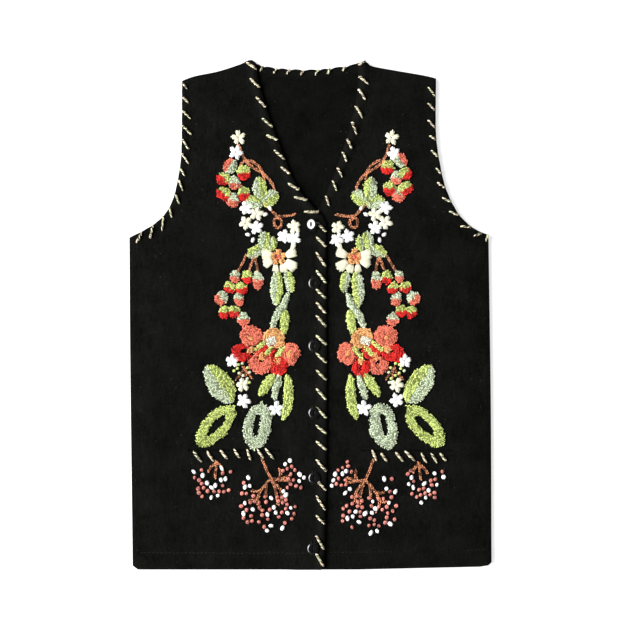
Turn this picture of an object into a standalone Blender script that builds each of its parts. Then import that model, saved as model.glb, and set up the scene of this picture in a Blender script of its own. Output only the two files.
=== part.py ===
"""A winter vest of thick brushed knit, buttoned up and laid flat on its back.

X runs across the vest as the viewer sees it, Y runs towards the neck and Z is up. The origin is on the surface the
vest lies on, under the middle of its box. The wearer's right front is on the viewer's left, at -X, and laps over
the wearer's left front. Sizes are in millimetres until a mesh is written.
"""

import math
from collections import namedtuple

import bmesh
import bpy
import numpy as np
from mathutils import Matrix, Vector
from mathutils.geometry import delaunay_2d_cdt

TO_METRES = 0.001

# Cloth, seams and edges
CLOTH = 2.2
SEAM_GAP = 0.3
SEAM_EDGE = 1.3
SEAM_ROUND = 4.0
AIR = 1.4
SETTLE = 28.0
NECK_SETTLE = 0.35
LAP_GAP = 0.5
LAP_BLEND = 28.0
LAP_START = 2.0
LAP_TOP = 140.0
LAP_FADE = 48.0

# The rolled edge of the neck and the button band, and the bound edge of the armholes
ROLL_HEIGHT = 1.8
ROLL_WIDE = 11.5
ROLL_CUT = 1.2
ROLL_DROP = 0.5
ROLL_HIDES = 141.0
ROLL_RETURNS = 163.0
BOUND_HEIGHT = 0.9
BOUND_WIDE = 8.0
BACK_ROLL_HEIGHT = 1.3
BACK_ROLL_WIDE = 7.0
BACK_ROLL_CLEAR = (2.0, 10.0)
BACK_ROLL_BOX = (-67.0, 57.0, 290.0)

# The turned-up hem, with the groove its stitches pull in
HEM_WIDE = 21.0
HEM_HEIGHT = 0.6
HEM_GROOVE = 0.5
GROOVE_HALF = 1.6

# Pockets: a slit in each front with a rolled lower lip, and a bag behind it
POCKET_UP = -176.0
POCKET_OUT = (52.0, 172.0)
SLIT_WIDE = 1.8
LIP_HEIGHT = 1.2
LIP_WIDE = 13.0
LIP_FADE = 3.5
BAG_CLOTH = 1.0
BAG_GAP = 0.5
BAG_ABOVE = 7.0
BAG_DEEP = 122.0
BAG_MARGIN = 5.0
BAG_CORNER = 16.0

# Buttons: a disc with a raised rim and a lens-shaped eye, on a shank of thread
BUTTON_RADIUS = 7.5
BUTTON_THICK = 3.0
BUTTON_SIDES = 20
SHANK_RADIUS = 0.8
HOLE_LONG = 16.5
HOLE_WIDE = 2.4
TOP_BUTTON_TILT = math.radians(-28.0)
# Turns of the disc from its underside to the floor of its eye, as shares of the radius and the thickness
Turn = namedtuple("Turn", "across along height")
BUTTON_TURNS = (
    Turn(0.62, 0.62, 0.0),
    Turn(0.95, 0.95, 0.35),
    Turn(1.0, 1.0, 0.62),
    Turn(0.93, 0.93, 1.0),
    Turn(0.78, 0.78, 0.86),
    Turn(0.24, 0.50, 0.78),
    Turn(0.10, 0.34, 0.50),
)
Button = namedtuple("Button", "x y")
BUTTONS = (
    Button(1.5, 116.0),
    Button(4.0, 40.0),
    Button(4.0, -41.0),
    Button(4.0, -127.0),
    Button(4.0, -211.0),
    Button(2.5, -302.0),
)

# Spacing of the points that the walls are made from
OUTLINE_STEP = 11.0
ROLL_STEP = 10.0
SHORT_STEP = 5.0
TOP_GRID = 24.0
UNDER_GRID = 34.0
FLAT_GRID = 80.0
GRID_SHARE = 0.42
GRID_CLEAR = 6.0
ROW_GAP = 2.4
PAD_GAP = 2.0
LOOP_CLEAR = 1.0
PAD_CLEAR = 1.6
ROW_TRUE = 0.35
SLIVER = 0.02

# Edges of the cut pieces: x and y of the points that each smooth run passes through
Point = namedtuple("Point", "x y")
EDGES = {
    "side_right": (Point(-229, -324), Point(-231, -60), Point(-233, 98)),
    "armhole_right": (
        Point(-233, 98),
        Point(-216, 105.5),
        Point(-200, 115.5),
        Point(-187, 128),
        Point(-177, 148),
        Point(-170, 180),
        Point(-167, 215),
        Point(-166.5, 302),
    ),
    "shoulder_right": (Point(-166.5, 302), Point(-150, 307), Point(-120, 313), Point(-90, 322), Point(-84, 326.5)),
    "nub_right": (Point(-84, 326.5), Point(-77, 328.5), Point(-70.5, 324)),
    "neck_right": (
        Point(-70.5, 324),
        Point(-66, 307),
        Point(-57, 274),
        Point(-46.5, 243),
        Point(-36, 212),
        Point(-24, 180),
        Point(-13, 159),
        Point(1, 143),
        Point(9, 135),
    ),
    "corner_right": (Point(9, 135), Point(16, 129), Point(21.5, 119)),
    "placket_right": (Point(21.5, 119), Point(22, -40), Point(22, -200), Point(18.5, -324)),
    "side_left": (Point(233, -317), Point(231.5, -100), Point(229, 100)),
    "armhole_left": (
        Point(229, 100),
        Point(213, 106),
        Point(199, 117),
        Point(187, 133),
        Point(174, 160),
        Point(166, 193),
        Point(161.5, 235),
        Point(161.5, 305),
    ),
    "shoulder_left": (Point(161.5, 305), Point(144, 309), Point(112, 314.5), Point(84, 319.5), Point(76, 322)),
    "nub_left": (Point(76, 322), Point(70, 327), Point(61, 325)),
    "neck_left": (
        Point(61, 325),
        Point(59.5, 300),
        Point(55, 268),
        Point(47, 238),
        Point(38, 208),
        Point(26, 175),
        Point(16, 152),
        Point(7, 135),
        Point(-4, 121),
        Point(-13, 112),
    ),
    "underlap": (Point(-13, 112), Point(-15, -100), Point(-16, -324)),
    "back_neck": (Point(-70.5, 324), Point(-45, 316.5), Point(0, 314), Point(42, 318), Point(61, 325)),
    "hem_right": (Point(18.5, -324), Point(13, -327.5), Point(-224, -327.5), Point(-229, -324)),
    "hem_left": (
        Point(-16, -324),
        Point(-10, -327),
        Point(115, -326),
        Point(219, -323.5),
        Point(230, -321.5),
        Point(233, -317),
    ),
    "hem_back": (
        Point(-229, -324),
        Point(-224, -328.5),
        Point(60, -328.5),
        Point(219, -324.5),
        Point(230, -322.5),
        Point(233, -317),
    ),
}
STRAIGHT_RUNS = ("hem_right", "hem_left", "hem_back", "underlap")
SHORT_RUNS = ("nub_right", "nub_left", "corner_right")

# Soft folds of the cloth as it lies: middle, direction in degrees, half length, half width and height
Fold = namedtuple("Fold", "x y turn long wide high")
FOLDS = (
    Fold(-185, -95, 82, 150, 26, 1.3),
    Fold(-150, 60, 68, 95, 30, 1.1),
    Fold(-120, 262, 20, 60, 24, 0.9),
    Fold(-196, -250, 60, 60, 24, 1.1),
    Fold(-95, -306, 0, 62, 22, 2.0),
    Fold(190, -60, 96, 160, 28, 1.2),
    Fold(150, 80, 112, 90, 28, 1.2),
    Fold(112, 262, -18, 55, 24, 0.9),
    Fold(176, -262, 118, 62, 26, 1.3),
    Fold(96, -312, 4, 55, 20, 1.0),
)

# The line the embroidery is mirrored on leans a little, as it was worked by hand
MIRROR_X = 4.0
MIRROR_UP = 228.0
MIRROR_LEAN = 0.0225
PAD_HEIGHT = 1.7
PAD_EDGE = 2.2

# Embroidered forms on each front. out is the distance from the mirror line, up is the height on the vest
Round = namedtuple("Round", "out up long wide turn")
Star = namedtuple("Star", "out up radius turn")
Leaf = namedtuple("Leaf", "out up tip_out tip_up wide")
Strip = namedtuple("Strip", "path wide")
BERRIES = (
    Round(109, 192, 17, 14, 130),
    Round(92, 183, 16, 15, 95),
    Round(118, 175, 15, 14, 150),
    Round(104, 170, 15, 14, 60),
    Round(118, 156, 15, 16, 120),
    Round(92, 156, 16, 14, 80),
    Round(106, 148, 16, 14, 95),
    Round(75, 44, 22, 14, 90),
    Round(90, 48, 17, 14, 80),
    Round(106, 49, 16, 12, 95),
    Round(98, 34, 16, 14, 60),
    Round(113, 35, 15, 15, 100),
    Round(124, 21, 18, 16, 120),
    Round(102, 20, 18, 13, 85),
    Round(108, 4, 16, 15, 95),
    Round(121, 3, 17, 14, 90),
    Round(97, -6, 18, 15, 70),
)
BLOSSOMS = (
    Star(98, 228, 9.5, 10),
    Star(101, 208, 9.5, 40),
    Star(91, 137, 9, 0),
    Star(76, 129, 9, 30),
    Star(90, 118, 9, 60),
    Star(77, 112, 9, 15),
    Star(62, 133, 6, 50),
    Star(86, 100, 6.5, 20),
    Star(28, 113, 9, 5),
    Star(42, 101, 8.5, 35),
    Star(28, 97, 9, 60),
    Star(112, -60, 8.5, 20),
    Star(99, -91, 9.5, 0),
    Star(99, -111, 9.5, 40),
    Star(57, -122, 10, 15),
)
PETALS = (
    Round(49, 74, 28, 26, 0),
    Round(30, 80, 26, 10, 100),
    Round(31, 61, 15, 12, 20),
    Round(41, 54, 14, 13, 80),
    Round(55, 57, 14, 12, 120),
    Round(65, 66, 15, 11, 160),
    Round(66, 78, 15, 12, 10),
    Round(87, -28, 28, 27, 0),
    Round(57, -31, 29, 26, 20),
    Round(99, -49, 28, 24, 60),
    Round(69, -47, 30, 26, 0),
    Round(80, -62, 26, 25, 30),
    Round(54, -65, 27, 25, 70),
    Round(38, -49, 28, 24, 150),
)
LEAVES = (
    Leaf(66, 151, 79, 178, 15),
    Leaf(69, 146, 46, 158, 19),
    Leaf(65, 145, 92, 151, 16),
    Leaf(71, 80, 72, 107, 17),
    Leaf(62, 80, 55, 101, 13),
    Leaf(64, 78, 93, 80, 16),
    Leaf(54, 57, 55, 9, 18),
    Leaf(38, 57, 33, 27, 13),
    Leaf(41, 8, 45, -28, 12),
    Leaf(57, -75, 79, -107, 12),
    Leaf(51, -75, 60, -112, 11),
    Leaf(112, -115, 145, -66, 28),
)
STRIPS = (
    Strip(((37, 30), (44, 12), (55, -5), (61, -20)), 11),
    Strip(((43, -76), (36, -99), (39, -120), (50, -138)), 12),
)
RING_LEAVES = (
    Leaf(113, -119, 159, -171, 32),
    Leaf(72, -115, 88, -176, 33),
)
HOLLOWS = (
    Leaf(124, -130, 145, -157, 9),
    Leaf(78, -128, 85, -160, 6),
)

# Looks of the solids
Finish = namedtuple("Finish", "color roughness")
KNIT = Finish((0.008, 0.008, 0.007, 1.0), 0.95)
INSIDE = Finish((0.012, 0.012, 0.011, 1.0), 0.95)
BAG = Finish((0.010, 0.010, 0.010, 1.0), 0.9)
BLACK_RESIN = Finish((0.006, 0.006, 0.007, 1.0), 0.12)


def clear_scene():
    for thing in list(bpy.data.objects):
        bpy.data.objects.remove(thing, do_unlink=True)


def finish_of(name, finish):
    material = bpy.data.materials.new(name)
    material.use_nodes = True
    shader = material.node_tree.nodes["Principled BSDF"]
    shader.inputs["Base Color"].default_value = finish.color
    shader.inputs["Roughness"].default_value = finish.roughness
    shader.inputs["Metallic"].default_value = 0.0
    material.diffuse_color = finish.color
    return material


# Curves in the plane


def resampled(line, step):
    """The same line with evenly spaced points about a step apart."""
    along = np.concatenate([[0.0], np.cumsum(np.linalg.norm(np.diff(line, axis=0), axis=1))])
    count = max(2, int(round(along[-1] / step)) + 1)
    stops = np.linspace(0.0, along[-1], count)
    return np.column_stack([np.interp(stops, along, line[:, axis]) for axis in (0, 1)])


def smooth_run(points, step, finer=16):
    """A Catmull-Rom curve through the points, evenly sampled."""
    known = np.array(points, float)
    known = np.vstack([2 * known[0] - known[1], known, 2 * known[-1] - known[-2]])
    share = np.linspace(0.0, 1.0, finer, endpoint=False)[:, None]
    pieces = []
    for before, start, end, after in zip(known, known[1:], known[2:], known[3:]):
        pieces.append(
            start
            + 0.5 * share * (end - before)
            + share**2 * (before - 2.5 * start + 2 * end - 0.5 * after)
            + share**3 * (1.5 * (start - end) + 0.5 * (after - before))
        )
    pieces.append(known[-2:-1])
    return resampled(np.vstack(pieces), step)


def run(name, step=OUTLINE_STEP):
    if name in STRAIGHT_RUNS:
        stretches = [np.array(pair, float) for pair in zip(EDGES[name], EDGES[name][1:])]
        return np.vstack([resampled(pair, 2 * step)[:-1] for pair in stretches] + [stretches[-1][-1:]])
    return smooth_run(EDGES[name], SHORT_STEP if name in SHORT_RUNS else step)


def outline(*names):
    """One closed loop from the named runs, each turned round where its end meets the loop so far."""
    loop = run(names[0])
    for name in names[1:]:
        following = run(name)
        if np.linalg.norm(following[0] - loop[-1]) > np.linalg.norm(following[-1] - loop[-1]):
            following = following[::-1]
        loop = np.vstack([loop, following[1:]])
    return loop[:-1] if np.linalg.norm(loop[0] - loop[-1]) < 0.1 else loop


def distance(points, *lines):
    """The distance from each point to the nearest of the lines."""
    nearest = np.full(len(points), np.inf)
    for line in lines:
        for start, end in zip(line, line[1:]):
            along = end - start
            share = np.clip((points - start) @ along / max(along @ along, 1e-9), 0.0, 1.0)
            nearest = np.minimum(nearest, np.linalg.norm(points - start - share[:, None] * along, axis=1))
    return nearest


def closed(loop):
    return np.vstack([loop, loop[:1]])


def inside(points, loop):
    """Whether each point lies within the closed loop."""
    within = np.zeros(len(points), bool)
    for start, end in zip(loop, np.roll(loop, -1, axis=0)):
        crosses = (start[1] > points[:, 1]) != (end[1] > points[:, 1])
        rise = end[1] - start[1] if end[1] != start[1] else 1e-9
        within ^= crosses & (points[:, 0] < start[0] + (points[:, 1] - start[1]) * (end[0] - start[0]) / rise)
    return within


def inset(line, amount):
    """The line's points moved to the left of their direction of travel."""
    along = np.gradient(line, axis=0)
    along /= np.linalg.norm(along, axis=1)[:, None]
    return line + amount * np.column_stack([-along[:, 1], along[:, 0]])


def ease(values, start, end):
    """0 at start, 1 at end and a soft S between them."""
    share = np.clip((values - start) / (end - start), 0.0, 1.0)
    return share * share * (3.0 - 2.0 * share)


def stadium(middle, long, wide, upright, ends=4):
    """A slit with round ends."""
    half = long / 2 - wide / 2
    turns = np.linspace(-math.pi / 2, math.pi / 2, ends + 1)
    right = np.column_stack([half + wide / 2 * np.cos(turns), wide / 2 * np.sin(turns)])
    between = np.linspace(half, -half, max(2, int(half / 8)) + 1)[1:-1]
    upper = np.column_stack([between, np.full(len(between), wide / 2)])
    shape = np.vstack([right, upper])
    shape = np.vstack([shape, -shape])
    if upright:
        shape = np.column_stack([-shape[:, 1], shape[:, 0]])
    return shape + np.array(middle)


# The embroidered forms as outlines in the plane


def on_front(out, up, side):
    """A place given from the mirror line, on the front at that side of it (-1 or 1)."""
    return np.array([MIRROR_X + MIRROR_LEAN * (MIRROR_UP - up) + side * out, up])


def round_outline(form, side, count=9):
    turn = math.radians(form.turn if side > 0 else 180.0 - form.turn)
    angles = np.linspace(0.0, 2 * math.pi, count, endpoint=False)
    shape = np.column_stack([form.long / 2 * np.cos(angles), form.wide / 2 * np.sin(angles)])
    spin = np.array([[math.cos(turn), math.sin(turn)], [-math.sin(turn), math.cos(turn)]])
    return shape @ spin + on_front(form.out, form.up, side)


def star_outline(form, side):
    """A blossom with five round petals."""
    angles = math.radians(form.turn) * side + np.linspace(0.0, 2 * math.pi, 10, endpoint=False)
    reach = form.radius * np.tile([1.0, 0.62], 5)
    return np.column_stack([reach * np.cos(angles), reach * np.sin(angles)]) + on_front(form.out, form.up, side)


def leaf_outline(form, side, count=5):
    """A pointed oval from its stalk to its tip."""
    start = on_front(form.out, form.up, side)
    end = on_front(form.tip_out, form.tip_up, side)
    along = end - start
    across = np.array([-along[1], along[0]]) / np.linalg.norm(along)
    share = np.linspace(0.0, 1.0, count + 2)[1:-1, None]
    half = form.wide / 2 * np.sin(math.pi * share**0.9) ** 0.7
    there = start + share * along - half * across
    back = (start + share * along + half * across)[::-1]
    return np.vstack([start[None], there, end[None], back])


def strip_outline(form, side):
    """A long curved leaf, narrow at both ends."""
    line = smooth_run([on_front(out, up, side) for out, up in form.path], 9.0)
    share = np.linspace(0.0, 1.0, len(line))
    half = form.wide / 2 * np.maximum(np.sin(math.pi * share), 0.05) ** 0.5
    along = np.gradient(line, axis=0)
    across = np.column_stack([-along[:, 1], along[:, 0]]) / np.linalg.norm(along, axis=1)[:, None]
    return np.vstack([line - half[:, None] * across, (line + half[:, None] * across)[::-1][1:-1]])


def pads_of(side):
    """The outlines of all raised forms on one front."""
    pads = [round_outline(form, side) for form in BERRIES]
    pads += [star_outline(form, side) for form in BLOSSOMS]
    pads += [round_outline(form, side, 11) for form in PETALS]
    pads += [leaf_outline(form, side) for form in LEAVES]
    pads += [strip_outline(form, side) for form in STRIPS]
    pads += [leaf_outline(form, side, 7) for form in RING_LEAVES]
    return pads


def hollows_of(side):
    return [leaf_outline(form, side, 4) for form in HOLLOWS]


def pad_height(points, side):
    """How far the embroidery stands out of the cloth at each point."""
    high = np.zeros(len(points))
    for pad in pads_of(side):
        depth = np.where(inside(points, pad), distance(points, closed(pad)), 0.0)
        high = np.maximum(high, PAD_HEIGHT * ease(depth, 0.0, PAD_EDGE))
    for hollow in hollows_of(side):
        depth = np.where(inside(points, hollow), distance(points, closed(hollow)), 0.0)
        high *= 1.0 - ease(depth, 0.0, 0.6 * PAD_EDGE)
    return high


def shrunk(loop, amount):
    """The loop drawn in towards its middle by about that amount."""
    middle = loop.mean(axis=0)
    reach = np.linalg.norm(loop - middle, axis=1)[:, None]
    return middle + (loop - middle) * np.maximum(0.25, 1.0 - amount / reach)


def pad_points(side):
    """Points on and inside each raised form's outline, those that a neighbour covers left out."""
    points = np.vstack([np.vstack([pad, shrunk(pad, PAD_EDGE)]) for pad in pads_of(side) + hollows_of(side)])
    for pad in pads_of(side):
        covered = inside(points, pad) & (distance(points, closed(pad)) > 1.3 * PAD_EDGE)
        deep = np.array([inside(points, hollow) for hollow in hollows_of(side)]).any(axis=0)
        points = points[~covered | deep]
    return points


# How the cloth lies


def folds_at(points):
    """The height of the soft folds at each point."""
    high = np.zeros(len(points))
    for fold in FOLDS:
        turn = math.radians(fold.turn)
        off = points - np.array([fold.x, fold.y])
        along = off @ np.array([math.cos(turn), math.sin(turn)])
        across = off @ np.array([-math.sin(turn), math.cos(turn)])
        high += fold.high * np.exp(-((along / fold.long) ** 2) - (across / fold.wide) ** 2)
    return high


def outer_runs(side):
    names = ("side", "armhole", "shoulder")
    ending = "_left" if side > 0 else "_right"
    return [run(name + ending) for name in names]


def front_rest(points, side):
    """The underside of a front where nothing but the back and the pocket bag lies under it."""
    edge = distance(points, *outer_runs(side))
    neck = distance(points, run("neck_left" if side > 0 else "neck_right"))
    settled = NECK_SETTLE + (1.0 - NECK_SETTLE) * ease(neck, 0.0, SETTLE)
    return CLOTH + SEAM_GAP + ease(edge, 0.0, SETTLE) * (AIR * settled + folds_at(points))


def hem_height(points, hem):
    """The turned-up hem's band and the groove of its stitches."""
    up = distance(points, hem)
    band = HEM_HEIGHT * (1.0 - ease(up, HEM_WIDE - 1.0, HEM_WIDE + 2.0))
    return band - HEM_GROOVE * np.exp(-(((up - HEM_WIDE) / GROOVE_HALF) ** 2))


def roll_height(edge, high, wide):
    """A rounded roll along an edge, its cut edge turned down."""
    bump = high * np.sin(math.pi * np.clip(edge / wide, 0.0, 1.0)) ** 0.8
    return bump - ROLL_DROP * (1.0 - np.clip(edge / ROLL_CUT, 0.0, 1.0))


def seam_drop(edge):
    """How much thinner the cloth is where it turns into a seam."""
    return (CLOTH - SEAM_EDGE) * (1.0 - ease(edge, 0.0, SEAM_ROUND))


def left_top(points):
    """The outer side of the wearer's left front, without its embroidery."""
    edge = distance(points, run("side_left"), run("shoulder_left"))
    shown = ease(points[:, 1], ROLL_HIDES, ROLL_RETURNS)
    roll = shown * roll_height(distance(points, run("neck_left")), ROLL_HEIGHT, ROLL_WIDE)
    bound = roll_height(distance(points, run("armhole_left")), BOUND_HEIGHT, BOUND_WIDE)
    relief = roll + bound + hem_height(points, run("hem_left")) + lip_height(points, 1)
    return front_rest(points, 1) + CLOTH - seam_drop(edge) + relief


def lap_height(points):
    """How much the wearer's right front is lifted by the left front under it."""
    across = ease(points[:, 0], EDGES["underlap"][0].x - LAP_BLEND, EDGES["underlap"][0].x - LAP_START)
    upward = 1.0 - ease(points[:, 1], LAP_TOP, LAP_TOP + LAP_FADE)
    return across * upward * (CLOTH + LAP_GAP + np.maximum(0.0, hem_height(points, run("hem_left"))))


def right_rest(points):
    return front_rest(points, -1) + lap_height(points)


def right_top(points):
    edge = distance(points, run("side_right"), run("shoulder_right"))
    rolled = (run("neck_right"), run("corner_right"), run("placket_right"))
    roll = roll_height(distance(points, *rolled), ROLL_HEIGHT, ROLL_WIDE)
    bound = roll_height(distance(points, run("armhole_right")), BOUND_HEIGHT, BOUND_WIDE)
    relief = roll + bound + hem_height(points, run("hem_right")) + lip_height(points, -1)
    return right_rest(points) + CLOTH - seam_drop(edge) + relief


def slit_ends(side):
    return [on_front(out, POCKET_UP, side)[0] for out in POCKET_OUT]


def slit_loop(side):
    low, high = sorted(slit_ends(side))
    return stadium(((low + high) / 2, POCKET_UP), high - low, SLIT_WIDE, False)


def lip_height(points, side):
    """The rolled lip below a pocket's slit."""
    low, high = sorted(slit_ends(side))
    below = POCKET_UP - points[:, 1]
    started = ease(points[:, 0], low - LIP_FADE, low + LIP_FADE)
    ends = started * (1.0 - ease(points[:, 0], high - LIP_FADE, high + LIP_FADE))
    return LIP_HEIGHT * ends * np.sin(math.pi * np.clip(below / LIP_WIDE, 0.0, 1.0))


def back_top(points):
    """The inside of the back, with the rolled neck edge where no front lies on it."""
    low, high, foot = BACK_ROLL_BOX
    clear = ease(distance(points, run("neck_right"), run("neck_left")), *BACK_ROLL_CLEAR)
    clear *= (points[:, 0] > low) * (points[:, 0] < high) * (points[:, 1] > foot)
    return CLOTH + clear * roll_height(distance(points, run("back_neck")), BACK_ROLL_HEIGHT, BACK_ROLL_WIDE)


def back_under(points):
    """Flat where it rests, turned up a little along the side and shoulder seams."""
    names = ("side_right", "side_left", "shoulder_right", "shoulder_left")
    return seam_drop(distance(points, *[run(name) for name in names]))


# Walls of cloth


def spaced(kept, wanted, gap):
    """The kept points and those wanted ones that lie at least the gap from all before them."""
    kept = list(kept)
    for point in wanted:
        if len(kept) == 0 or np.min(np.sum((np.array(kept) - point) ** 2, axis=1)) > gap * gap:
            kept.append(point)
    return np.array(kept)


def grid_over(loop, step):
    """Staggered points over a loop's box."""
    low, high = loop.min(axis=0), loop.max(axis=0)
    rows = np.arange(low[1] + step / 2, high[1], step * 0.87)
    points = []
    for index, y in enumerate(rows):
        shift = step / 2 * (index % 2)
        points += [(x, y) for x in np.arange(low[0] + step / 3 + shift, high[0], step)]
    return np.array(points)


def triangles_over(loops, points):
    """Triangles over the first loop with the other loops left open. The loops' points come first."""
    everything = np.vstack(list(loops) + [points]) if len(points) else np.vstack(loops)
    edges, start = [], 0
    for loop in loops:
        ring = list(range(start, start + len(loop)))
        edges += list(zip(ring, ring[1:] + ring[:1]))
        start += len(loop)
    vertices, _, faces, origins, _, _ = delaunay_2d_cdt([Vector(p) for p in everything], edges, [], 0, 1e-4)
    if len(vertices) != len(everything):
        raise RuntimeError("an outline crosses itself or a point lies on an edge")
    first = [origin[0] for origin in origins]
    faces = np.array([[first[corner] for corner in face] for face in faces])
    corners = everything[faces]
    middles = corners.mean(axis=1)
    sides = corners[:, 1:] - corners[:, :1]
    twice_area = np.abs(sides[:, 0, 0] * sides[:, 1, 1] - sides[:, 0, 1] * sides[:, 1, 0])
    keep = inside(middles, loops[0]) & (twice_area > SLIVER)
    for hole in loops[1:]:
        keep &= ~inside(middles, hole)
    return everything, faces[keep]


def away_from(points, loops, gap):
    """The points inside the first loop and outside the others, none nearer to a loop than the gap."""
    if len(points) == 0:
        return points
    keep = inside(points, loops[0])
    for hole in loops[1:]:
        keep &= ~inside(points, hole)
    keep &= distance(points, *[closed(loop) for loop in loops]) > gap
    return points[keep]


def cloth_wall(name, loops, upper, lower, top, under, finish):
    """One closed solid: its outer side over the upper points, its inner side over the lower ones, joined at the rim."""
    upper_flat, upper_faces = triangles_over(loops, upper)
    lower_flat, lower_faces = triangles_over(loops, lower)
    mesh = bmesh.new()
    over = [mesh.verts.new(Vector((*p, z)) * TO_METRES) for p, z in zip(upper_flat, top(upper_flat))]
    below = [mesh.verts.new(Vector((*p, z)) * TO_METRES) for p, z in zip(lower_flat, under(lower_flat))]
    for face in upper_faces:
        mesh.faces.new([over[corner] for corner in face])
    for face in lower_faces:
        mesh.faces.new([below[corner] for corner in face[::-1]])
    start = 0
    for loop in loops:
        for index in range(len(loop)):
            here, there = start + index, start + (index + 1) % len(loop)
            mesh.faces.new([below[here], below[there], over[there], over[here]])
        start += len(loop)
    bmesh.ops.recalc_face_normals(mesh, faces=mesh.faces)
    data = bpy.data.meshes.new(name)
    mesh.to_mesh(data)
    mesh.free()
    data.shade_smooth()
    data.set_sharp_from_angle(angle=math.radians(50))
    data.materials.append(finish_of(name, finish))
    thing = bpy.data.objects.new(name, data)
    bpy.context.scene.collection.objects.link(thing)
    return thing


def along_edge(lines, insets, step=ROLL_STEP):
    """Points at each inset from the lines, on both sides of them."""
    rows = []
    for line in lines:
        even = resampled(line, step)
        for amount in insets:
            rows += [inset(even, amount), inset(even, -amount)]
    return np.vstack(rows)


def true_to_inset(points, lines, insets):
    """Only the points that are as far from the lines as one of the insets."""
    away = distance(points, *lines)
    return points[np.min(np.abs(away[:, None] - np.array(insets)), axis=1) < ROW_TRUE]


def edge_rows(lines, insets):
    return true_to_inset(along_edge(lines, insets), lines, insets)


def front_points(loops, side, rolled, hem):
    """The points that shape a front's outer side: rolls, seams, hem, pocket lip, embroidery and then a plain grid."""
    seams = [run(name + ("_left" if side > 0 else "_right")) for name in ("side", "shoulder")]
    bound = [run("armhole_left" if side > 0 else "armhole_right")]
    rows = edge_rows(rolled, (ROLL_CUT, 0.45 * ROLL_WIDE, ROLL_WIDE))
    rows = np.vstack([rows, edge_rows(bound, (ROLL_CUT, 0.5 * BOUND_WIDE, BOUND_WIDE))])
    rows = np.vstack([rows, edge_rows(seams, (SEAM_ROUND,))])
    rows = np.vstack([rows, edge_rows([hem], (HEM_WIDE - 1.8, HEM_WIDE, HEM_WIDE + 2.2))])
    low, high = sorted(slit_ends(side))
    for below in (0.35 * LIP_WIDE, 0.65 * LIP_WIDE, LIP_WIDE):
        across = np.arange(low, high, ROLL_STEP)
        rows = np.vstack([rows, np.column_stack([across, np.full(len(across), POCKET_UP - below)])])
    kept = spaced([], away_from(rows, loops, LOOP_CLEAR), ROW_GAP)
    kept = spaced(kept, away_from(pad_points(side), loops, PAD_CLEAR), PAD_GAP)
    return with_grid(kept, loops, TOP_GRID)


def with_grid(kept, loops, step):
    """The kept points and a plain grid in the room they leave."""
    return spaced(kept, away_from(grid_over(loops[0], step), loops, GRID_CLEAR), GRID_SHARE * step)


def plain_points(loops, seams, step):
    rows = away_from(edge_rows(seams, (SEAM_ROUND,)), loops, PAD_CLEAR)
    return with_grid(spaced([], rows, ROLL_STEP / 2), loops, step)


def make_back():
    loop = outline(
        "hem_back",
        "side_left",
        "armhole_left",
        "shoulder_left",
        "nub_left",
        "back_neck",
        "nub_right",
        "shoulder_right",
        "armhole_right",
        "side_right",
    )
    seams = [run(name) for name in ("side_right", "side_left", "shoulder_right", "shoulder_left")]
    neck = [run("back_neck")]
    rows = away_from(edge_rows(neck, (ROLL_CUT, 0.5 * BACK_ROLL_WIDE, BACK_ROLL_WIDE)), [loop], LOOP_CLEAR)
    upper = with_grid(spaced([], rows, ROW_GAP), [loop], UNDER_GRID)
    lower = plain_points([loop], seams, FLAT_GRID)
    return cloth_wall("back", [loop], upper, lower, back_top, back_under, INSIDE)


def make_front_left():
    names = ("hem_left", "side_left", "armhole_left", "shoulder_left", "nub_left", "neck_left", "underlap")
    loops = [outline(*names), slit_loop(1)]
    upper = front_points(loops, 1, [run("neck_left"), run("nub_left")], run("hem_left"))
    lower = plain_points(loops, outer_runs(1)[:1], UNDER_GRID)
    return cloth_wall(
        "front_left",
        loops,
        upper,
        lower,
        lambda points: left_top(points) + pad_height(points, 1),
        lambda points: front_rest(points, 1),
        KNIT,
    )


def make_front_right():
    names = ("hem_right", "side_right", "armhole_right", "shoulder_right", "nub_right", "neck_right")
    loops = [outline(*names, "corner_right", "placket_right"), slit_loop(-1)]
    loops += [stadium((button.x, button.y), HOLE_LONG, HOLE_WIDE, True) for button in BUTTONS]
    rolled = [run("neck_right"), run("corner_right"), run("placket_right"), run("nub_right")]
    upper = front_points(loops, -1, rolled, run("hem_right"))
    lower = plain_points(loops, outer_runs(-1)[:1] + [run("underlap")], UNDER_GRID)
    return cloth_wall(
        "front_right",
        loops,
        upper,
        lower,
        lambda points: right_top(points) + pad_height(points, -1),
        right_rest,
        KNIT,
    )


def make_pocket_bag(name, side):
    """A single cloth behind the slit, sewn on round its edges."""
    low, high = sorted(slit_ends(side))
    low, high = low - BAG_MARGIN, high + BAG_MARGIN
    top = POCKET_UP + BAG_ABOVE
    foot = top - BAG_DEEP
    turns = np.linspace(math.pi, 1.5 * math.pi, 5)
    curve = BAG_CORNER * np.column_stack([np.cos(turns), np.sin(turns)])
    left_corner = curve + np.array([low + BAG_CORNER, foot + BAG_CORNER])
    right_corner = (curve * np.array([-1, 1]))[::-1] + np.array([high - BAG_CORNER, foot + BAG_CORNER])
    corners = np.vstack([left_corner, right_corner, [[high, top], [low, top]]])
    loop = resampled(closed(corners), OUTLINE_STEP)[:-1]
    points = away_from(grid_over(loop, UNDER_GRID), [loop], GRID_CLEAR)
    return cloth_wall(
        name,
        [loop],
        points,
        points,
        lambda flat: front_rest(flat, side) - BAG_GAP,
        lambda flat: front_rest(flat, side) - BAG_GAP - BAG_CLOTH,
        BAG,
    )


# Buttons


def ring(radius_x, radius_y, height, tilt):
    """One turn of points of the button, in its own frame."""
    angles = np.linspace(0.0, 2 * math.pi, BUTTON_SIDES, endpoint=False)
    turned = Matrix.Rotation(tilt, 3, "Y")
    return [turned @ Vector((radius_x * math.cos(a), radius_y * math.sin(a), height)) for a in angles]


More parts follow.
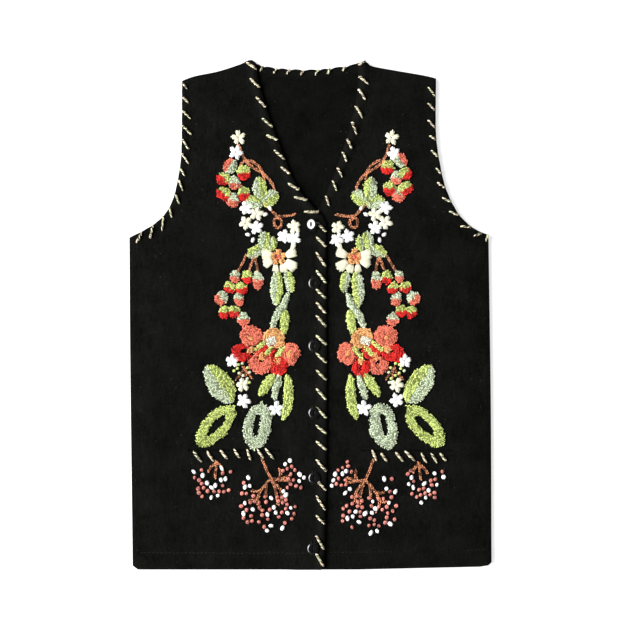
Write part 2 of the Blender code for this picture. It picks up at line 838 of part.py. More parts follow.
def button_mesh(name, tilt, drop):
    """A turned disc with a dished face and an eye, and the shank down through its buttonhole."""
    rings = [ring(SHANK_RADIUS, SHANK_RADIUS, -drop, 0.0), ring(SHANK_RADIUS, SHANK_RADIUS, 0.0, tilt)]
    for turn in BUTTON_TURNS:
        height = turn.height * BUTTON_THICK
        rings.append(ring(turn.across * BUTTON_RADIUS, turn.along * BUTTON_RADIUS, height, tilt))
    mesh = bmesh.new()
    loops = [[mesh.verts.new(point * TO_METRES) for point in turn] for turn in rings]
    for lower, upper in zip(loops, loops[1:]):
        for index in range(BUTTON_SIDES):
            after = (index + 1) % BUTTON_SIDES
            mesh.faces.new([lower[index], lower[after], upper[after], upper[index]])
    mesh.faces.new(loops[0][::-1])
    mesh.faces.new(loops[-1])
    bmesh.ops.recalc_face_normals(mesh, faces=mesh.faces)
    data = bpy.data.meshes.new(name)
    mesh.to_mesh(data)
    mesh.free()
    data.shade_smooth()
    data.set_sharp_from_angle(angle=math.radians(40))
    return data


def disc_points(button, radius):
    turns = np.linspace(0.0, 2 * math.pi, 24, endpoint=False)
    rows = [np.column_stack([np.cos(turns), np.sin(turns)]) * radius * share for share in (0.3, 0.65, 1.0)]
    return np.vstack(rows) + np.array([button.x, button.y])


def make_button(index, button):
    """The button lies on the lapped front and its shank ends on the front below."""
    name = f"button_{index + 1}"
    tilt = TOP_BUTTON_TILT if index == 0 else 0.0
    seat = right_top(disc_points(button, BUTTON_RADIUS)).max() + SEAM_GAP
    seat += BUTTON_RADIUS * 0.95 * abs(math.sin(tilt))
    under = left_top(disc_points(button, SHANK_RADIUS)).max() + SEAM_GAP
    data = button_mesh(name, tilt, seat - under)
    data.materials.append(finish_of(name, BLACK_RESIN))
    thing = bpy.data.objects.new(name, data)
    thing.location = Vector((button.x, button.y, seat)) * TO_METRES
    bpy.context.scene.collection.objects.link(thing)
    return thing


def main():
    clear_scene()
    make_back()
    make_pocket_bag("pocket_right", -1)
    make_pocket_bag("pocket_left", 1)
    make_front_left()
    make_front_right()
    for index, button in enumerate(BUTTONS):
        make_button(index, button)


main()
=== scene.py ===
"""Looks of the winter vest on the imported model's frame: knit, wool embroidery, edge stitches and buttons.

X runs across the vest as the viewer sees it, Y runs towards the neck and Z is up. Places and sizes in the
tables are in millimetres and are turned into metres when a piece is finished. The wearer's right front is at
-X and laps over the wearer's left front.
"""

import math
from collections import namedtuple
from functools import lru_cache

import bmesh
import bpy
import numpy as np
from bpy.props import FloatProperty, FloatVectorProperty, PointerProperty
from mathutils import Matrix, Vector, noise as random_field


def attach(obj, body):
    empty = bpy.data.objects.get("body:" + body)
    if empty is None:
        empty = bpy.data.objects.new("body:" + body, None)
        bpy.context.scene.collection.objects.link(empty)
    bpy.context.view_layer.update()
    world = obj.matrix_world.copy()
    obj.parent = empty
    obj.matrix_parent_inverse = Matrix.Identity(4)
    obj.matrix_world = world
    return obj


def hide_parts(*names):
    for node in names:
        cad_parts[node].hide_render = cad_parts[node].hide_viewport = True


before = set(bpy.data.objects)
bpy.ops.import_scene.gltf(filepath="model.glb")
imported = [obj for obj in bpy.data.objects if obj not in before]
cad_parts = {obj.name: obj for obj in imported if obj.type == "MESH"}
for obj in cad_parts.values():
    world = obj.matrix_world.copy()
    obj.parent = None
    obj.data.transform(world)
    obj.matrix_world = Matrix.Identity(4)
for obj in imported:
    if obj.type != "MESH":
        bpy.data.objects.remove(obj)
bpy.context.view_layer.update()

bl_info = {
    "name": "Embroidered winter vest",
    "version": (1, 0, 0),
    "blender": (4, 5, 0),
    "location": "View3D > Sidebar > Vest",
    "description": "Dresses the packed vest in knit, wool embroidery, edge stitches and buttons",
    "category": "Object",
}

MM = 0.001
METRE = 1000.0
SIDES = ((-1, "right"), (1, "left"))
LEVEL = np.array([1.0, 0.0])


def table_of(kind, *rows):
    """Plain rows turned into one kind of named tuple."""
    return tuple(kind(*row) for row in rows)


# How the cloth lies, as in the part's source
CLOTH = 2.2
SEAM_GAP = 0.3
SEAM_EDGE = 1.3
SEAM_ROUND = 4.0
AIR = 1.4
SETTLE = 28.0
NECK_SETTLE = 0.35
LAP_GAP = 0.5
LAP_BLEND = 28.0
LAP_START = 2.0
LAP_TOP = 140.0
LAP_FADE = 48.0
ROLL_HEIGHT = 1.8
ROLL_WIDE = 11.5
ROLL_CUT = 1.2
ROLL_DROP = 0.5
ROLL_HIDES = 141.0
ROLL_RETURNS = 163.0
BOUND_HEIGHT = 0.9
BOUND_WIDE = 8.0
BACK_ROLL_HEIGHT = 1.3
BACK_ROLL_WIDE = 7.0
BACK_ROLL_CLEAR = (2.0, 10.0)
BACK_ROLL_BOX = (-67.0, 57.0, 290.0)
HEM_WIDE = 21.0
HEM_HEIGHT = 0.6
HEM_GROOVE = 0.9
GROOVE_HALF = 1.6
POCKET_UP = -176.0
POCKET_OUT = (52.0, 172.0)
SLIT_WIDE = 1.8
LIP_HEIGHT = 1.2
LIP_WIDE = 13.0
LIP_FADE = 3.5
BAG_CLOTH = 1.0
BAG_GAP = 0.5
BAG_ABOVE = 7.0
BAG_DEEP = 122.0
BAG_MARGIN = 5.0
BAG_CORNER = 16.0
HOLE_LONG = 16.5
HOLE_WIDE = 2.4
MIRROR_X = 4.0
MIRROR_UP = 228.0
MIRROR_LEAN = 0.0225

# Edges of the cut pieces: the points that each smooth run passes through
EDGES = {
    "side_right": ((-230.2, -325), (-233.4, -60), (-234.4, 99)),
    "armhole_right": (
        (-234.4, 99), (-217, 108), (-201.5, 117.5), (-188.5, 130), (-178, 149.5), (-171, 180),
        (-167.2, 215), (-166.5, 302),
    ),
    "shoulder_right": ((-166.5, 302), (-150, 307.8), (-120, 314), (-92, 323), (-84, 327)),
    "nub_right": ((-84, 327), (-77, 328.8), (-70.5, 324)),
    "neck_right": (
        (-70.5, 324), (-68.5, 307), (-59.5, 274), (-48.9, 243), (-37.4, 212), (-24.8, 180),
        (-13.7, 159), (0.2, 142.5), (7.5, 134.5),
    ),
    "corner_right": ((7.5, 134.5), (14.5, 128.5), (20, 118)),
    "placket_right": ((20, 118), (20.6, -40), (20.6, -200), (17.4, -325.5)),
    "side_left": ((233.3, -320.8), (232.4, -120), (229.4, 102.5)),
    "armhole_left": (
        (229.4, 102.5), (214, 109), (200.5, 119), (188, 134), (175, 161), (167, 193), (161.5, 235),
        (161.5, 305),
    ),
    "shoulder_left": ((161.5, 305), (144, 309), (112, 314.5), (84, 319.5), (76, 322)),
    "nub_left": ((76, 322), (70, 327), (61, 325)),
    "neck_left": (
        (61, 325), (61.6, 300), (57.2, 268), (49.3, 238), (40.2, 208), (28.4, 175), (18.1, 152),
        (8.5, 135), (-4, 121), (-13, 112),
    ),
    "underlap": ((-13, 112), (-15, -100), (-16, -325.5)),
    "back_neck": ((-70.5, 324), (-45, 319), (0, 316.8), (42, 321), (61, 325)),
    "hem_right": ((17.4, -325.5), (13, -329.4), (-224, -329.4), (-230.2, -325)),
    "hem_left": ((-16, -325.5), (-10, -328.6), (115, -328), (219, -325.6), (229.6, -324.1), (233.3, -320.8)),
    "hem_back": (
        (-230.2, -325), (-224, -330.2), (60, -330.2), (219, -326.6), (229.8, -324.8),
        (233.3, -320.8),
    ),
}
STRAIGHT_RUNS = ("hem_right", "hem_left", "hem_back", "underlap")
EDGE_STEP = 3.6
EDGE_INSETS = (1.2, 1.6)
EDGE_BULGE = 0.55
# How far each edge stitch pulls the cloth's edge in, and over what length
STITCH_PULL = 0.9
PULL_REACH = 3.6

# Soft folds: middle, direction in degrees, half length, half width and height
Fold = namedtuple("Fold", "x y turn long wide high")
FOLDS = table_of(
    Fold,
    (-185, -95, 82, 150, 26, 1.3), (-150, 60, 68, 95, 30, 1.1), (-120, 262, 20, 60, 24, 0.9),
    (-196, -250, 60, 60, 24, 1.1), (-95, -306, 0, 62, 22, 2.0), (190, -60, 96, 160, 28, 1.2),
    (150, 80, 112, 90, 28, 1.2), (112, 262, -18, 55, 24, 0.9), (176, -262, 118, 62, 26, 1.3),
    (96, -312, 4, 55, 20, 1.0),
)
# Main creases, troughs below nought
CREASES = table_of(
    Fold,
    (-176, -195, 46, 26, 5, 0.6), (-205, -150, 78, 60, 7, 0.5), (-150, -228, 12, 40, 6, -0.5),
    (-188, 20, 84, 70, 6, 0.5), (-142, 188, 76, 48, 6, -0.45), (-196, -290, 8, 34, 6, 0.5),
    (-60, -292, 6, 46, 6, -0.5), (196, -140, 98, 62, 6, 0.5), (172, -222, 128, 34, 6, 0.6),
    (205, 18, 94, 66, 7, 0.5), (140, 190, 104, 46, 6, -0.45), (150, -286, -8, 52, 6, -0.5),
    (90, -296, 4, 44, 5, 0.4), (-186, -30, 20, 24, 5, -0.4), (188, -10, 158, 24, 5, -0.4),
)
# Long low waves of the cloth: direction in degrees, length, height and start
WAVES = ((12, 41.0, 0.10, 0.3), (68, 29.0, 0.07, 1.7), (104, 53.0, 0.11, 4.1), (151, 23.0, 0.05, 2.2))

Button = namedtuple("Button", "x y tilt", defaults=(0.0,))
BUTTONS = table_of(
    Button,
    (1.5, 116.0, -28.0), (4.0, 40.0), (4.0, -41.0), (4.0, -127.0), (4.0, -211.0), (2.5, -302.0),
)
BUTTON_RADIUS = 7.5
BUTTON_THICK = 3.0
BUTTON_SIDES = 48
BUTTON_FOOT = 0.6
# Rings of a button from its foot up, as shares of its radius and thickness
BUTTON_RIM = (
    (0.88, 0.05), (0.975, 0.2), (1.0, 0.38), (0.99, 0.56), (0.95, 0.72), (0.88, 0.86),
    (0.80, 0.955), (0.72, 1.0),
)
# Rings of its dished face and lens-shaped eye: across, along and height
BUTTON_EYE = (
    (0.50, 0.60, 0.975),
    (0.20, 0.50, 0.955),
    (0.19, 0.49, 0.86),
    (0.16, 0.45, 0.50),
    (0.12, 0.39, 0.32),
)
# The thread in the eye: places along it and their heights, its half gap and half thickness
THREAD_BEND = ((-2.6, 0.9), (-1.7, 1.4), (0.0, 1.6), (1.7, 1.4), (2.6, 0.9))
THREAD_APART = 0.48
THREAD_THICK = 0.46

# Millimetres to a pixel of the photo, and the vest's middle in it
PIXEL = 1.292
PHOTO_MIDDLE = (310.9, 314.3)

# Edge stitches, each from its inner end to the edge, in the photo's pixels
NECK_RIGHT_STITCHES = (
    (246, 62, 253.5, 69.5), (249.5, 78, 260, 87), (256, 97, 266, 106), (262, 118, 273, 126),
    (266, 135, 278, 139), (274, 150, 285, 158), (281, 167, 291, 173), (288, 183, 299, 189),
    (294, 197, 307, 199), (304, 212, 318, 212),
)
NECK_LEFT_STITCHES = (
    (366, 60.5, 356, 65), (369, 84, 361, 77), (366, 100, 359, 90), (363, 118, 356, 107),
    (357, 135, 353, 123), (352, 149, 347, 139.5), (347, 162, 342, 152.5), (342.5, 177, 337, 168),
    (337, 191, 332, 181), (329.5, 206, 325, 196),
)
# The button band's stitches, as the heights of their inner and outer ends
PLACKET_STITCHES = (
    (222, 231), (237, 246), (252, 266), (270, 282), (289, 298), (302, 313), (315, 326), (335, 344),
    (353, 362), (370, 379), (388, 399), (407, 417), (425, 433), (441, 449), (459, 470), (479, 489),
    (495, 509), (515, 523), (535, 548), (553, 565),
)
PLACKET_INNER = 316.0
PLACKET_OUTER = 326.0
ARMHOLE_RIGHT_STITCHES = (
    (187.5, 89, 182.5, 84), (189, 103, 183, 97.5), (191, 119, 183, 111), (192, 135, 183, 126),
    (189, 149.5, 182.5, 140), (189, 164, 182, 154), (185, 176, 180, 169), (183, 191, 179, 180),
    (179.5, 204, 175, 194), (172, 218, 169, 208), (162, 231, 163, 217), (150, 239, 153, 227),
    (136, 243, 142, 233),
)
ARMHOLE_LEFT_STITCHES = (
    (428, 87, 435, 95), (428, 103, 435, 110), (428, 120, 436, 127), (429.5, 135.5, 437, 139),
    (431, 150, 438, 156), (436, 168, 441, 173), (437, 182, 445, 187), (442, 197.5, 451, 201),
    (449, 211, 459.5, 214), (460, 226, 472, 225), (474, 236, 482, 232.5), (486, 241, 488, 235.5),
)
BACK_NECK_STITCHES = (
    (260, 70.5, 263, 66), (273.5, 72.5, 276.5, 68.5), (286.5, 73.5, 289.5, 69.5),
    (300.5, 74.5, 303.5, 70.5), (315.5, 74.5, 318.5, 70.5), (327.5, 73.5, 330.5, 69.5),
    (342.5, 70.5, 345.5, 66.5),
)
LIP_RIGHT_STITCHES = (
    (193, 451, 202, 462), (207, 451, 214, 462), (220, 450, 228, 459), (234, 449, 240, 458),
    (247, 449, 251, 460), (257, 449, 264, 458), (265, 448, 274, 459),
)
LIP_LEFT_STITCHES = (
    (372, 450, 377, 461), (381, 453, 388, 462), (395.5, 452, 404, 462), (405, 451, 415.5, 461),
    (421, 453, 427, 463), (431, 453, 437.5, 463), (440, 453, 447, 462),
)

# The edge yarn
LIP_YARN_WIDE = 1.12
EDGE_PLIES = 3
EDGE_FUZZ = 0.19
# Tones of the plies in turn; the ply at nought is painted shade in the twist's grooves
EDGE_TONES = (1.0, 0.0, 0.5)
EDGE_MOTTLE = 1.6
# It changes slowly between these tints along its length
EDGE_TINTS = ((1.05, 0.98, 0.90), (0.95, 1.01, 0.84))
# The hem's seam on each front: its side, start and end, and the length from stitch to stitch
HEM_SEAMS = ((-1, -224.0, 12.0), (1, 26.0, 226.0))
HEM_STITCH = 5.2

# Embroidered forms. out is the distance from the mirror line, up is the height on the vest
Berry = namedtuple("Berry", "out up long wide turn fruit cap cap_turn")
BERRIES = table_of(
    Berry,
    (109, 192, 17, 14, 130, "coral", "sage", 215), (92, 183, 16, 15, 95, "red", "yellow_green", 80),
    (118, 175, 15, 14, 150, "red", "yellow_green", 140), (104, 170, 15, 14, 60, "coral", "sage", 95),
    (118, 156, 15, 16, 120, "red", "yellow_green", 125),
    (92, 156, 16, 14, 80, "red", "yellow_green", 80), (106, 148, 16, 14, 95, "coral", "sage", 92),
    (76.5, 44, 22, 14, 90, "coral", "sage", 90), (90, 48, 17, 14, 80, "red", "yellow_green", 88),
    (106, 49, 16, 12, 95, "coral", "sage", 95), (98, 34, 16, 14, 60, "red", "yellow_green", 85),
    (113, 35, 15, 15, 100, "red", "yellow_green", 105), (124, 21, 18, 16, 120, "coral", "sage", 135),
    (102, 20, 18, 13, 85, "coral", "sage", 85), (108, 4, 16, 15, 95, "red", "yellow_green", 95),
    (121, 3, 17, 14, 90, "red", "yellow_green", 95), (97, -6, 18, 15, 70, "coral", "sage", 80),
)
Star = namedtuple("Star", "out up radius turn yarn")
BLOSSOMS = table_of(
    Star,
    (98, 228, 9.5, 10, "cream"), (101, 208, 9.5, 40, "white"), (91, 137, 9, 0, "white"),
    (76, 129, 9, 30, "cream"), (90, 118, 9, 60, "cream"), (77, 112, 9, 15, "white"),
    (28, 113, 9, 5, "cream"), (42, 101, 8.5, 35, "white"), (28, 97, 9, 60, "white"),
    (112, -60, 8.5, 20, "white"), (99, -91, 9.5, 0, "cream"), (99, -111, 9.5, 40, "white"),
    (57, -122, 10, 15, "white"),
)
BUDS = ((59, 137, 60), (65, 129, 150), (88, 103, 20), (82, 96, 110))
Round = namedtuple("Round", "out up long wide turn yarn hole", defaults=(None,))
# The large flower's petals, each with its hole if it has one. The lower ones differ by side
FLOWER_TOP = (
    Round(61.5, -34.5, 16, 12, 160, "pearl"),
    Round(88, -46, 11, 8, 150, "orange"),
    Round(73, -54, 11, 9, 110, "orange"),
    Round(54, -60, 10, 8, 70, "orange"),
    Round(88, -30, 8, 5, 20, "orange"),
    Round(38, -50, 10, 6, 110, "orange"),
    Round(87, -28, 30, 28, 0, "coral"),
    Round(57, -31, 30, 27, 20, "orange"),
)
FLOWER_LOW = {
    -1: (
        Round(99, -49, 28, 23, 165, "red", (96, -47, 8, 3.4, 170)),
        Round(76, -63, 31, 28, 20, "coral", (75, -56.5, 8, 5, 60)),
        Round(53, -66, 27, 24, 70, "red"),
    ),
    1: (
        Round(95, -49, 30, 24, 165, "red", (93, -48, 8, 3.6, 170)),
        Round(54, -68, 25, 23, 80, "red", (53, -69, 6, 3, 90)),
        Round(77, -66, 26, 25, 20, "coral", (76, -62, 6, 3.4, 40)),
    ),
}
FLOWER_UNDER = (Round(37, -51, 29, 26, 100, "coral"), Round(69, -47, 28, 24, 0, "red"))
STAMENS = ((68, -34, 84, -48), (58, -40, 71, -55), (43, -41, 58, -58))
STAMEN_HALF = 3.7
SMALL_FLOWER = (49.0, 74.0)
# Base, tip and width of each petal
SMALL_FLOWER_PETALS = (
    (57.5, 76, 71, 78.5, 15), (57, 69.5, 69, 64, 13), (53, 64, 53, 54.5, 10),
    (45, 64, 41, 54.5, 12), (40, 68.5, 26, 58.5, 15.5), (39, 75.5, 26, 82, 14),
    (32, 82, 28.5, 92, 7),
)
# A leaf's halves: the one towards the mirror line, or the upper one of a level leaf, then the other
HALVES = ("yellow_green", "sage")
Leaf = namedtuple("Leaf", "out up tip_out tip_up wide inner outer", defaults=HALVES)
LEAVES = (
    Leaf(70, 147, 73, 179, 19),
    Leaf(70, 143, 47, 158, 21),
    Leaf(64, 143, 91, 148, 19),
    Leaf(69, 83, 65, 108, 16.5),
    Leaf(60, 80, 55, 102, 14),
    Leaf(67, 88, 91, 75, 16),
    Leaf(51, 58, 54, 9, 17.5),
    Leaf(39, 57, 33, 27, 14),
    Leaf(41, 8, 45, -28, 13, "yellow_green", "yellow_green"),
    Leaf(57, -75, 79, -107, 13.5, "yellow_green", "yellow_green"),
    Leaf(51, -75, 60, -112, 11, "sage", "sage"),
    Leaf(112, -115, 146, -65, 33),
)
Strip = namedtuple("Strip", "path wide yarn")
STRIPS = (
    Strip(((37, 30), (44, 12), (55, -5), (61, -20)), 11, "sage"),
    Strip(((41, -75), (40, -98), (42, -120), (49, -138)), 14, "yellow_green"),
)
# Hollow leaves, each with its opening
RINGS = (
    (Leaf(111, -118, 160, -171, 34, "yellow_green", "yellow_green"), Leaf(123, -131, 146, -156, 10)),
    (Leaf(75, -114, 88, -176, 37, "sage", "sage"), Leaf(80, -127, 85, -159, 7.5)),
)
STEMS = (
    ((97, 219), (94, 208), (88, 198)),
    ((97, 190), (92, 197), (82, 198), (72, 191), (67, 182), (66, 174)),
    ((88, 197), (80, 190), (70, 184), (62, 178), (55, 168), (53, 161)),
    ((65, 142), (57, 134), (49, 127), (38, 127), (27, 129)),
    ((49, 126), (54, 121), (52, 113), (46, 113), (44, 120), (49, 125)),
    ((91, 76), (96, 66), (101, 57)),
    ((81, 74), (84, 66), (87, 58)),
    ((80, 74), (78, 66), (76, 56)),
)
SPRIG_STEMS = (
    ((98, -68), (92, -76), (86.5, -83)),
    ((97, -70), (102, -78), (108, -84)),
    ((95, -71), (95, -81)),
)
SPRIG_DOTS = (
    (99, -63.5), (105.5, -70), (92.5, -69), (110, -73), (103.5, -76), (90, -75), (93, -83),
    (90.5, -88), (98.5, -79), (104, -65),
)
# The sprays below the pockets: stems, then clusters of coral and white knots
SMALL_SPRAY = (
    ((135.4, -190), (136, -199), (137.5, -211)),
    ((135.4, -192), (141, -196), (146, -203)),
    ((134.5, -192), (130, -196), (127.5, -202)),
)
LARGE_SPRAY = (
    ((76.5, -187), (72, -198), (65.6, -212)),
    ((65.6, -212), (54, -214), (41, -215.5)),
    ((56, -214), (53, -207), (54, -200)),
    ((54, -214), (48, -211), (42, -209)),
    ((65.6, -212), (74.5, -222), (80, -230), (83.5, -242), (78, -253)),
    ((78, -227), (84, -229), (90, -228)),
    ((81, -235), (87, -240), (94, -240)),
    ((65, -213), (60, -226), (57, -245)),
    ((62, -216), (54, -226), (51.5, -240)),
    ((71, -219), (72, -227), (72, -235)),
)
Cluster = namedtuple("Cluster", "out up reach coral white")
SMALL_KNOTS = table_of(
    Cluster,
    (160, -203, 9, 2, 2), (153, -214, 7, 2, 1), (124, -204, 7, 2, 1), (137, -217, 5, 0, 1),
    (125, -218, 7, 1, 2), (146, -223, 7, 2, 1), (154, -231, 6, 3, 0), (134, -229, 6, 3, 0),
    (123, -229, 4, 1, 0), (138, -236, 7, 0, 2),
)
LARGE_KNOTS = table_of(
    Cluster,
    (41, -197, 9, 5, 2), (33, -213, 9, 5, 3), (47, -229, 8, 1, 2), (94, -215, 9, 1, 2),
    (98, -228, 7, 2, 1), (71, -240, 6, 2, 1), (99, -246, 7, 3, 1), (84, -250, 7, 2, 1),
    (95, -261, 8, 4, 1), (76, -259, 6, 2, 1), (74, -271, 9, 3, 2), (53, -241, 6, 5, 0),
    (42, -253, 9, 3, 2), (55, -258, 6, 2, 1), (40, -260, 6, 2, 0), (51, -270, 7, 1, 1),
    (63, -252, 6, 1, 1), (86, -238, 5, 2, 0),
)
KNOT_CLEAR = 5.5
KNOT_TRIES = 200
# Where the wearer's left front differs. Its upper berries below a height stand closer to their middle
LEFT_TOP_SHIFT = (2.0, 7.0)
LEFT_CLOSE_BELOW = 180.0
LEFT_CLOSE_MIDDLE = 106.0
LEFT_CLOSE_SHARE = 0.78
LEFT_SPRAY_SHIFT = (-9.0, -2.0)

# Stitches. Patches up to a small reach have finer tufts, and some tufts are dull
SMALL_PATCH = 15.0
FINE_TUFT = 0.92
TUFT_APART = 0.86
TUFT_OVER_EDGE = 0.6
EDGE_SCATTER = (-0.4, 0.7)
PATCH_GAP = 1.0
PATCH_NEAR = 80.0
STRAY_SHARE = 0.005
DULL_SHARE = {"pearl": 0.1, "coral": 0.25, "orange": 0.22}
DULL_USUAL = 0.32
PAD_HIGH = 0.8
PAD_SUNK = 0.25
PAD_STEP = 5.0
PAD_SHY = 1.2
PAD_SLOPE = 1.1
PETAL_WIDE = 7.1
BUD_WIDE = 5.2
BUD_HALF = 2.6
CHAIN_LONG = 3.3
CHAIN_HIGH = 2.0
CHAIN_YARN = 0.74
CHAIN_STEP = 2.9

# Yarns, and for some how pale (a painted highlight) and how dark (painted shade and random dull tone) each
# gets and how much of that is along its fibres
YARNS = ("red", "coral", "orange", "yellow_green", "sage", "stem", "white", "cream", "pearl", "rose")
USUAL_SPAN = (0.14, 0.12)
TONE_SPANS = {
    "white": (0.2, 0.7),
    "cream": (0.1, 0.65),
    "red": (0.01, 0.18),
    "stem": (0.08, 0.06),
    "sage": (0.3, 0.12),
    "coral": (0.10, 0.17),
    "orange": (0.10, 0.2),
    "rose": (0.12, 0.03, 0.65),
}

# Stage, its sizes and places in metres
FLOOR_SIZE = 8.0
FLOOR_DROP = 0.0012
FLOOR_GLOW = 0.735
WINDOW_GLOW = 15.0
LAMP_AWAY = 3.5
LAMP_SIZE = 2.3
LAMP_POWER = 6.9
LAMP_TOWARDS = (-0.70, 0.04, 0.70)
PHOTO_SIZE = 640
LENS = 85.0
SENSOR = 36.0
FOCUS_HEIGHT = 0.007


def size_property(title, description, size, least=0.0):
    return FloatProperty(name=title, description=description, default=size, unit="LENGTH", min=least)


class VestSizes(bpy.types.PropertyGroup):
    """Sizes of the cloth's mesh and of the yarns."""

    mesh_step: size_property("Mesh step", "Spacing of the cloth's mesh", 0.0034, 0.002)
    tuft_long: size_property("Tuft length", "Length of one loop of the tufted embroidery", 0.0028)
    tuft_row: size_property("Row spacing", "Distance between rows of tufts", 0.00195, 0.001)
    tuft_high: size_property("Tuft height", "Height of one loop above its ground", 0.0022)
    tuft_yarn: size_property("Tuft yarn", "Half thickness of the yarn of a tuft", 0.00075)
    edge_yarn: size_property("Edge yarn", "Half thickness of each ply of the edge yarn", 0.00060)
    knot_radius: size_property("Knot radius", "Radius of a French knot", 0.0025)
    wale: size_property("Wale", "Width of one column of the knit", 0.0023, 0.001)
    course: size_property("Course", "Height of one row of the knit", 0.0019, 0.001)


def colour_property(title, description, colour):
    return FloatVectorProperty(
        name=title, description=description, default=colour, subtype="COLOR", size=3, min=0.0, max=1.0
    )


class VestColours(bpy.types.PropertyGroup):
    """Colours of the cloth, the yarns, the buttons and the floor."""

    knit: colour_property("Knit", "Outside of the fronts", (0.00246, 0.00256, 0.00216))
    knit_inside: colour_property("Inside", "Inside of the back", (0.00184, 0.00191, 0.00171))
    pocketing: colour_property("Pocketing", "Cloth of the pocket bags", (0.0045, 0.0045, 0.0045))
    edge: colour_property("Edge yarn", "Cream yarn round the edges", (0.43, 0.38, 0.24))
    red: colour_property("Red", "Red wool", (0.80, 0.019, 0.013))
    coral: colour_property("Coral", "Coral wool", (0.90, 0.160, 0.068))
    orange: colour_property("Orange", "Orange wool", (0.90, 0.405, 0.106))
    yellow_green: colour_property("Yellow green", "Yellow-green wool", (0.62, 0.755, 0.134))
    sage: colour_property("Sage", "Grey-green wool", (0.58, 0.71, 0.40))
    stem: colour_property("Stem", "Brown-orange wool", (0.57, 0.180, 0.050))
    white: colour_property("White", "White wool", (0.43, 0.43, 0.42))
    rose: colour_property("Rose", "Pinkish wool of the knots", (0.50, 0.085, 0.043))
    pearl: colour_property("Pearl", "White wool of the tufts", (0.80, 0.815, 0.68))
    cream: colour_property("Cream", "Ivory wool", (0.395, 0.38, 0.265))
    thread: colour_property("Thread", "Black sewing thread", (0.0045, 0.0045, 0.004))
    lint: colour_property("Lint", "Specks of lint on the knit", (0.035, 0.032, 0.026))
    button: colour_property("Button", "Black resin", (0.003, 0.003, 0.0032))
    floor: colour_property("Floor", "The floor under the vest", (0.25, 0.25, 0.25))


# Curves in the plane


def resampled(line, step):
    """The same line with evenly spaced points about a step apart."""
    along = np.concatenate([[0.0], np.cumsum(np.linalg.norm(np.diff(line, axis=0), axis=1))])
    count = max(2, int(round(along[-1] / step)) + 1)
    stops = np.linspace(0.0, along[-1], count)
    return np.column_stack([np.interp(stops, along, line[:, axis]) for axis in range(line.shape[1])])


def smooth_run(points, step, finer=16):
    """A Catmull-Rom curve through the points, in the plane or in space, evenly sampled."""
    known = np.array(points, float)
    known = np.vstack([2 * known[0] - known[1], known, 2 * known[-1] - known[-2]])
    share = np.linspace(0.0, 1.0, finer, endpoint=False)[:, None]
    pieces = []
    for before, start, end, after in zip(known, known[1:], known[2:], known[3:]):
        pieces.append(
            start
            + 0.5 * share * (end - before)
            + share**2 * (before - 2.5 * start + 2 * end - 0.5 * after)
            + share**3 * (1.5 * (start - end) + 0.5 * (after - before))
        )
    pieces.append(known[-2:-1])
    return resampled(np.vstack(pieces), step)


@lru_cache(maxsize=None)
def run(name, step=EDGE_STEP):
    """The evenly sampled points of a named edge."""
    if name in STRAIGHT_RUNS:
        stretches = [np.array(pair, float) for pair in zip(EDGES[name], EDGES[name][1:])]
        return np.vstack([resampled(pair, step)[:-1] for pair in stretches] + [stretches[-1][-1:]])
    return smooth_run(EDGES[name], step)


def outline(*names):
    """One closed loop from the named runs, anticlockwise."""
    loop = run(names[0])
    for name in names[1:]:
        following = run(name)
        if np.linalg.norm(following[0] - loop[-1]) > np.linalg.norm(following[-1] - loop[-1]):
            following = following[::-1]
        loop = np.vstack([loop, following[1:]])
    loop = loop[:-1] if np.linalg.norm(loop[0] - loop[-1]) < 0.1 else loop
    after = np.roll(loop, -1, axis=0)
    turned = np.sum(loop[:, 0] * after[:, 1] - after[:, 0] * loop[:, 1])
    return loop if turned > 0 else loop[::-1]


def nearest_on(points, line):
    """The place on the line that is nearest to each point."""
    best = np.full(len(points), np.inf)
    places = np.zeros((len(points), 2))
    for start, end in zip(line, line[1:]):
        along = end - start
        share = np.clip((points - start) @ along / max(along @ along, 1e-9), 0.0, 1.0)
        there = start + share[:, None] * along
        away = np.linalg.norm(points - there, axis=1)
        closer = away < best
        best[closer] = away[closer]
        places[closer] = there[closer]
    return places


def distance(points, *lines):
    """The distance from each point to the nearest of the lines."""
    nearest = np.full(len(points), np.inf)
    for line in lines:
        for start, end in zip(line, line[1:]):
            along = end - start
            share = np.clip((points - start) @ along / max(along @ along, 1e-9), 0.0, 1.0)
            nearest = np.minimum(nearest, np.linalg.norm(points - start - share[:, None] * along, axis=1))
    return nearest


def closed(loop):
    return np.vstack([loop, loop[:1]])


def inside(points, loop):
    """Whether each point lies within the closed loop."""
    within = np.zeros(len(points), bool)
    for start, end in zip(loop, np.roll(loop, -1, axis=0)):
        crosses = (start[1] > points[:, 1]) != (end[1] > points[:, 1])
        rise = end[1] - start[1] if end[1] != start[1] else 1e-9
        within ^= crosses & (points[:, 0] < start[0] + (points[:, 1] - start[1]) * (end[0] - start[0]) / rise)
    return within


def ease(values, start, end):
    """0 at start, 1 at end and a soft S between them."""
    share = np.clip((values - start) / (end - start), 0.0, 1.0)
    return share * share * (3.0 - 2.0 * share)


def on_front(out, up, side):
    """A place given from the mirror line, on the front at that side of it (-1 or 1)."""
    return np.array([MIRROR_X + MIRROR_LEAN * (MIRROR_UP - up) + side * out, up])


def from_photo(x, y):
    """A place on the vest from one in the photo's pixels."""
    return np.array([(x - PHOTO_MIDDLE[0]) * PIXEL, (PHOTO_MIDDLE[1] - y) * PIXEL])


# How the cloth lies


def rises(points, table):
    """The height of soft folds or creases at each point."""
    high = np.zeros(len(points))
    for fold in table:
        turn = math.radians(fold.turn)
        off = points - np.array([fold.x, fold.y])
        along = off @ np.array([math.cos(turn), math.sin(turn)])
        across = off @ np.array([-math.sin(turn), math.cos(turn)])
        high += fold.high * np.exp(-((along / fold.long) ** 2) - (across / fold.wide) ** 2)
    return high


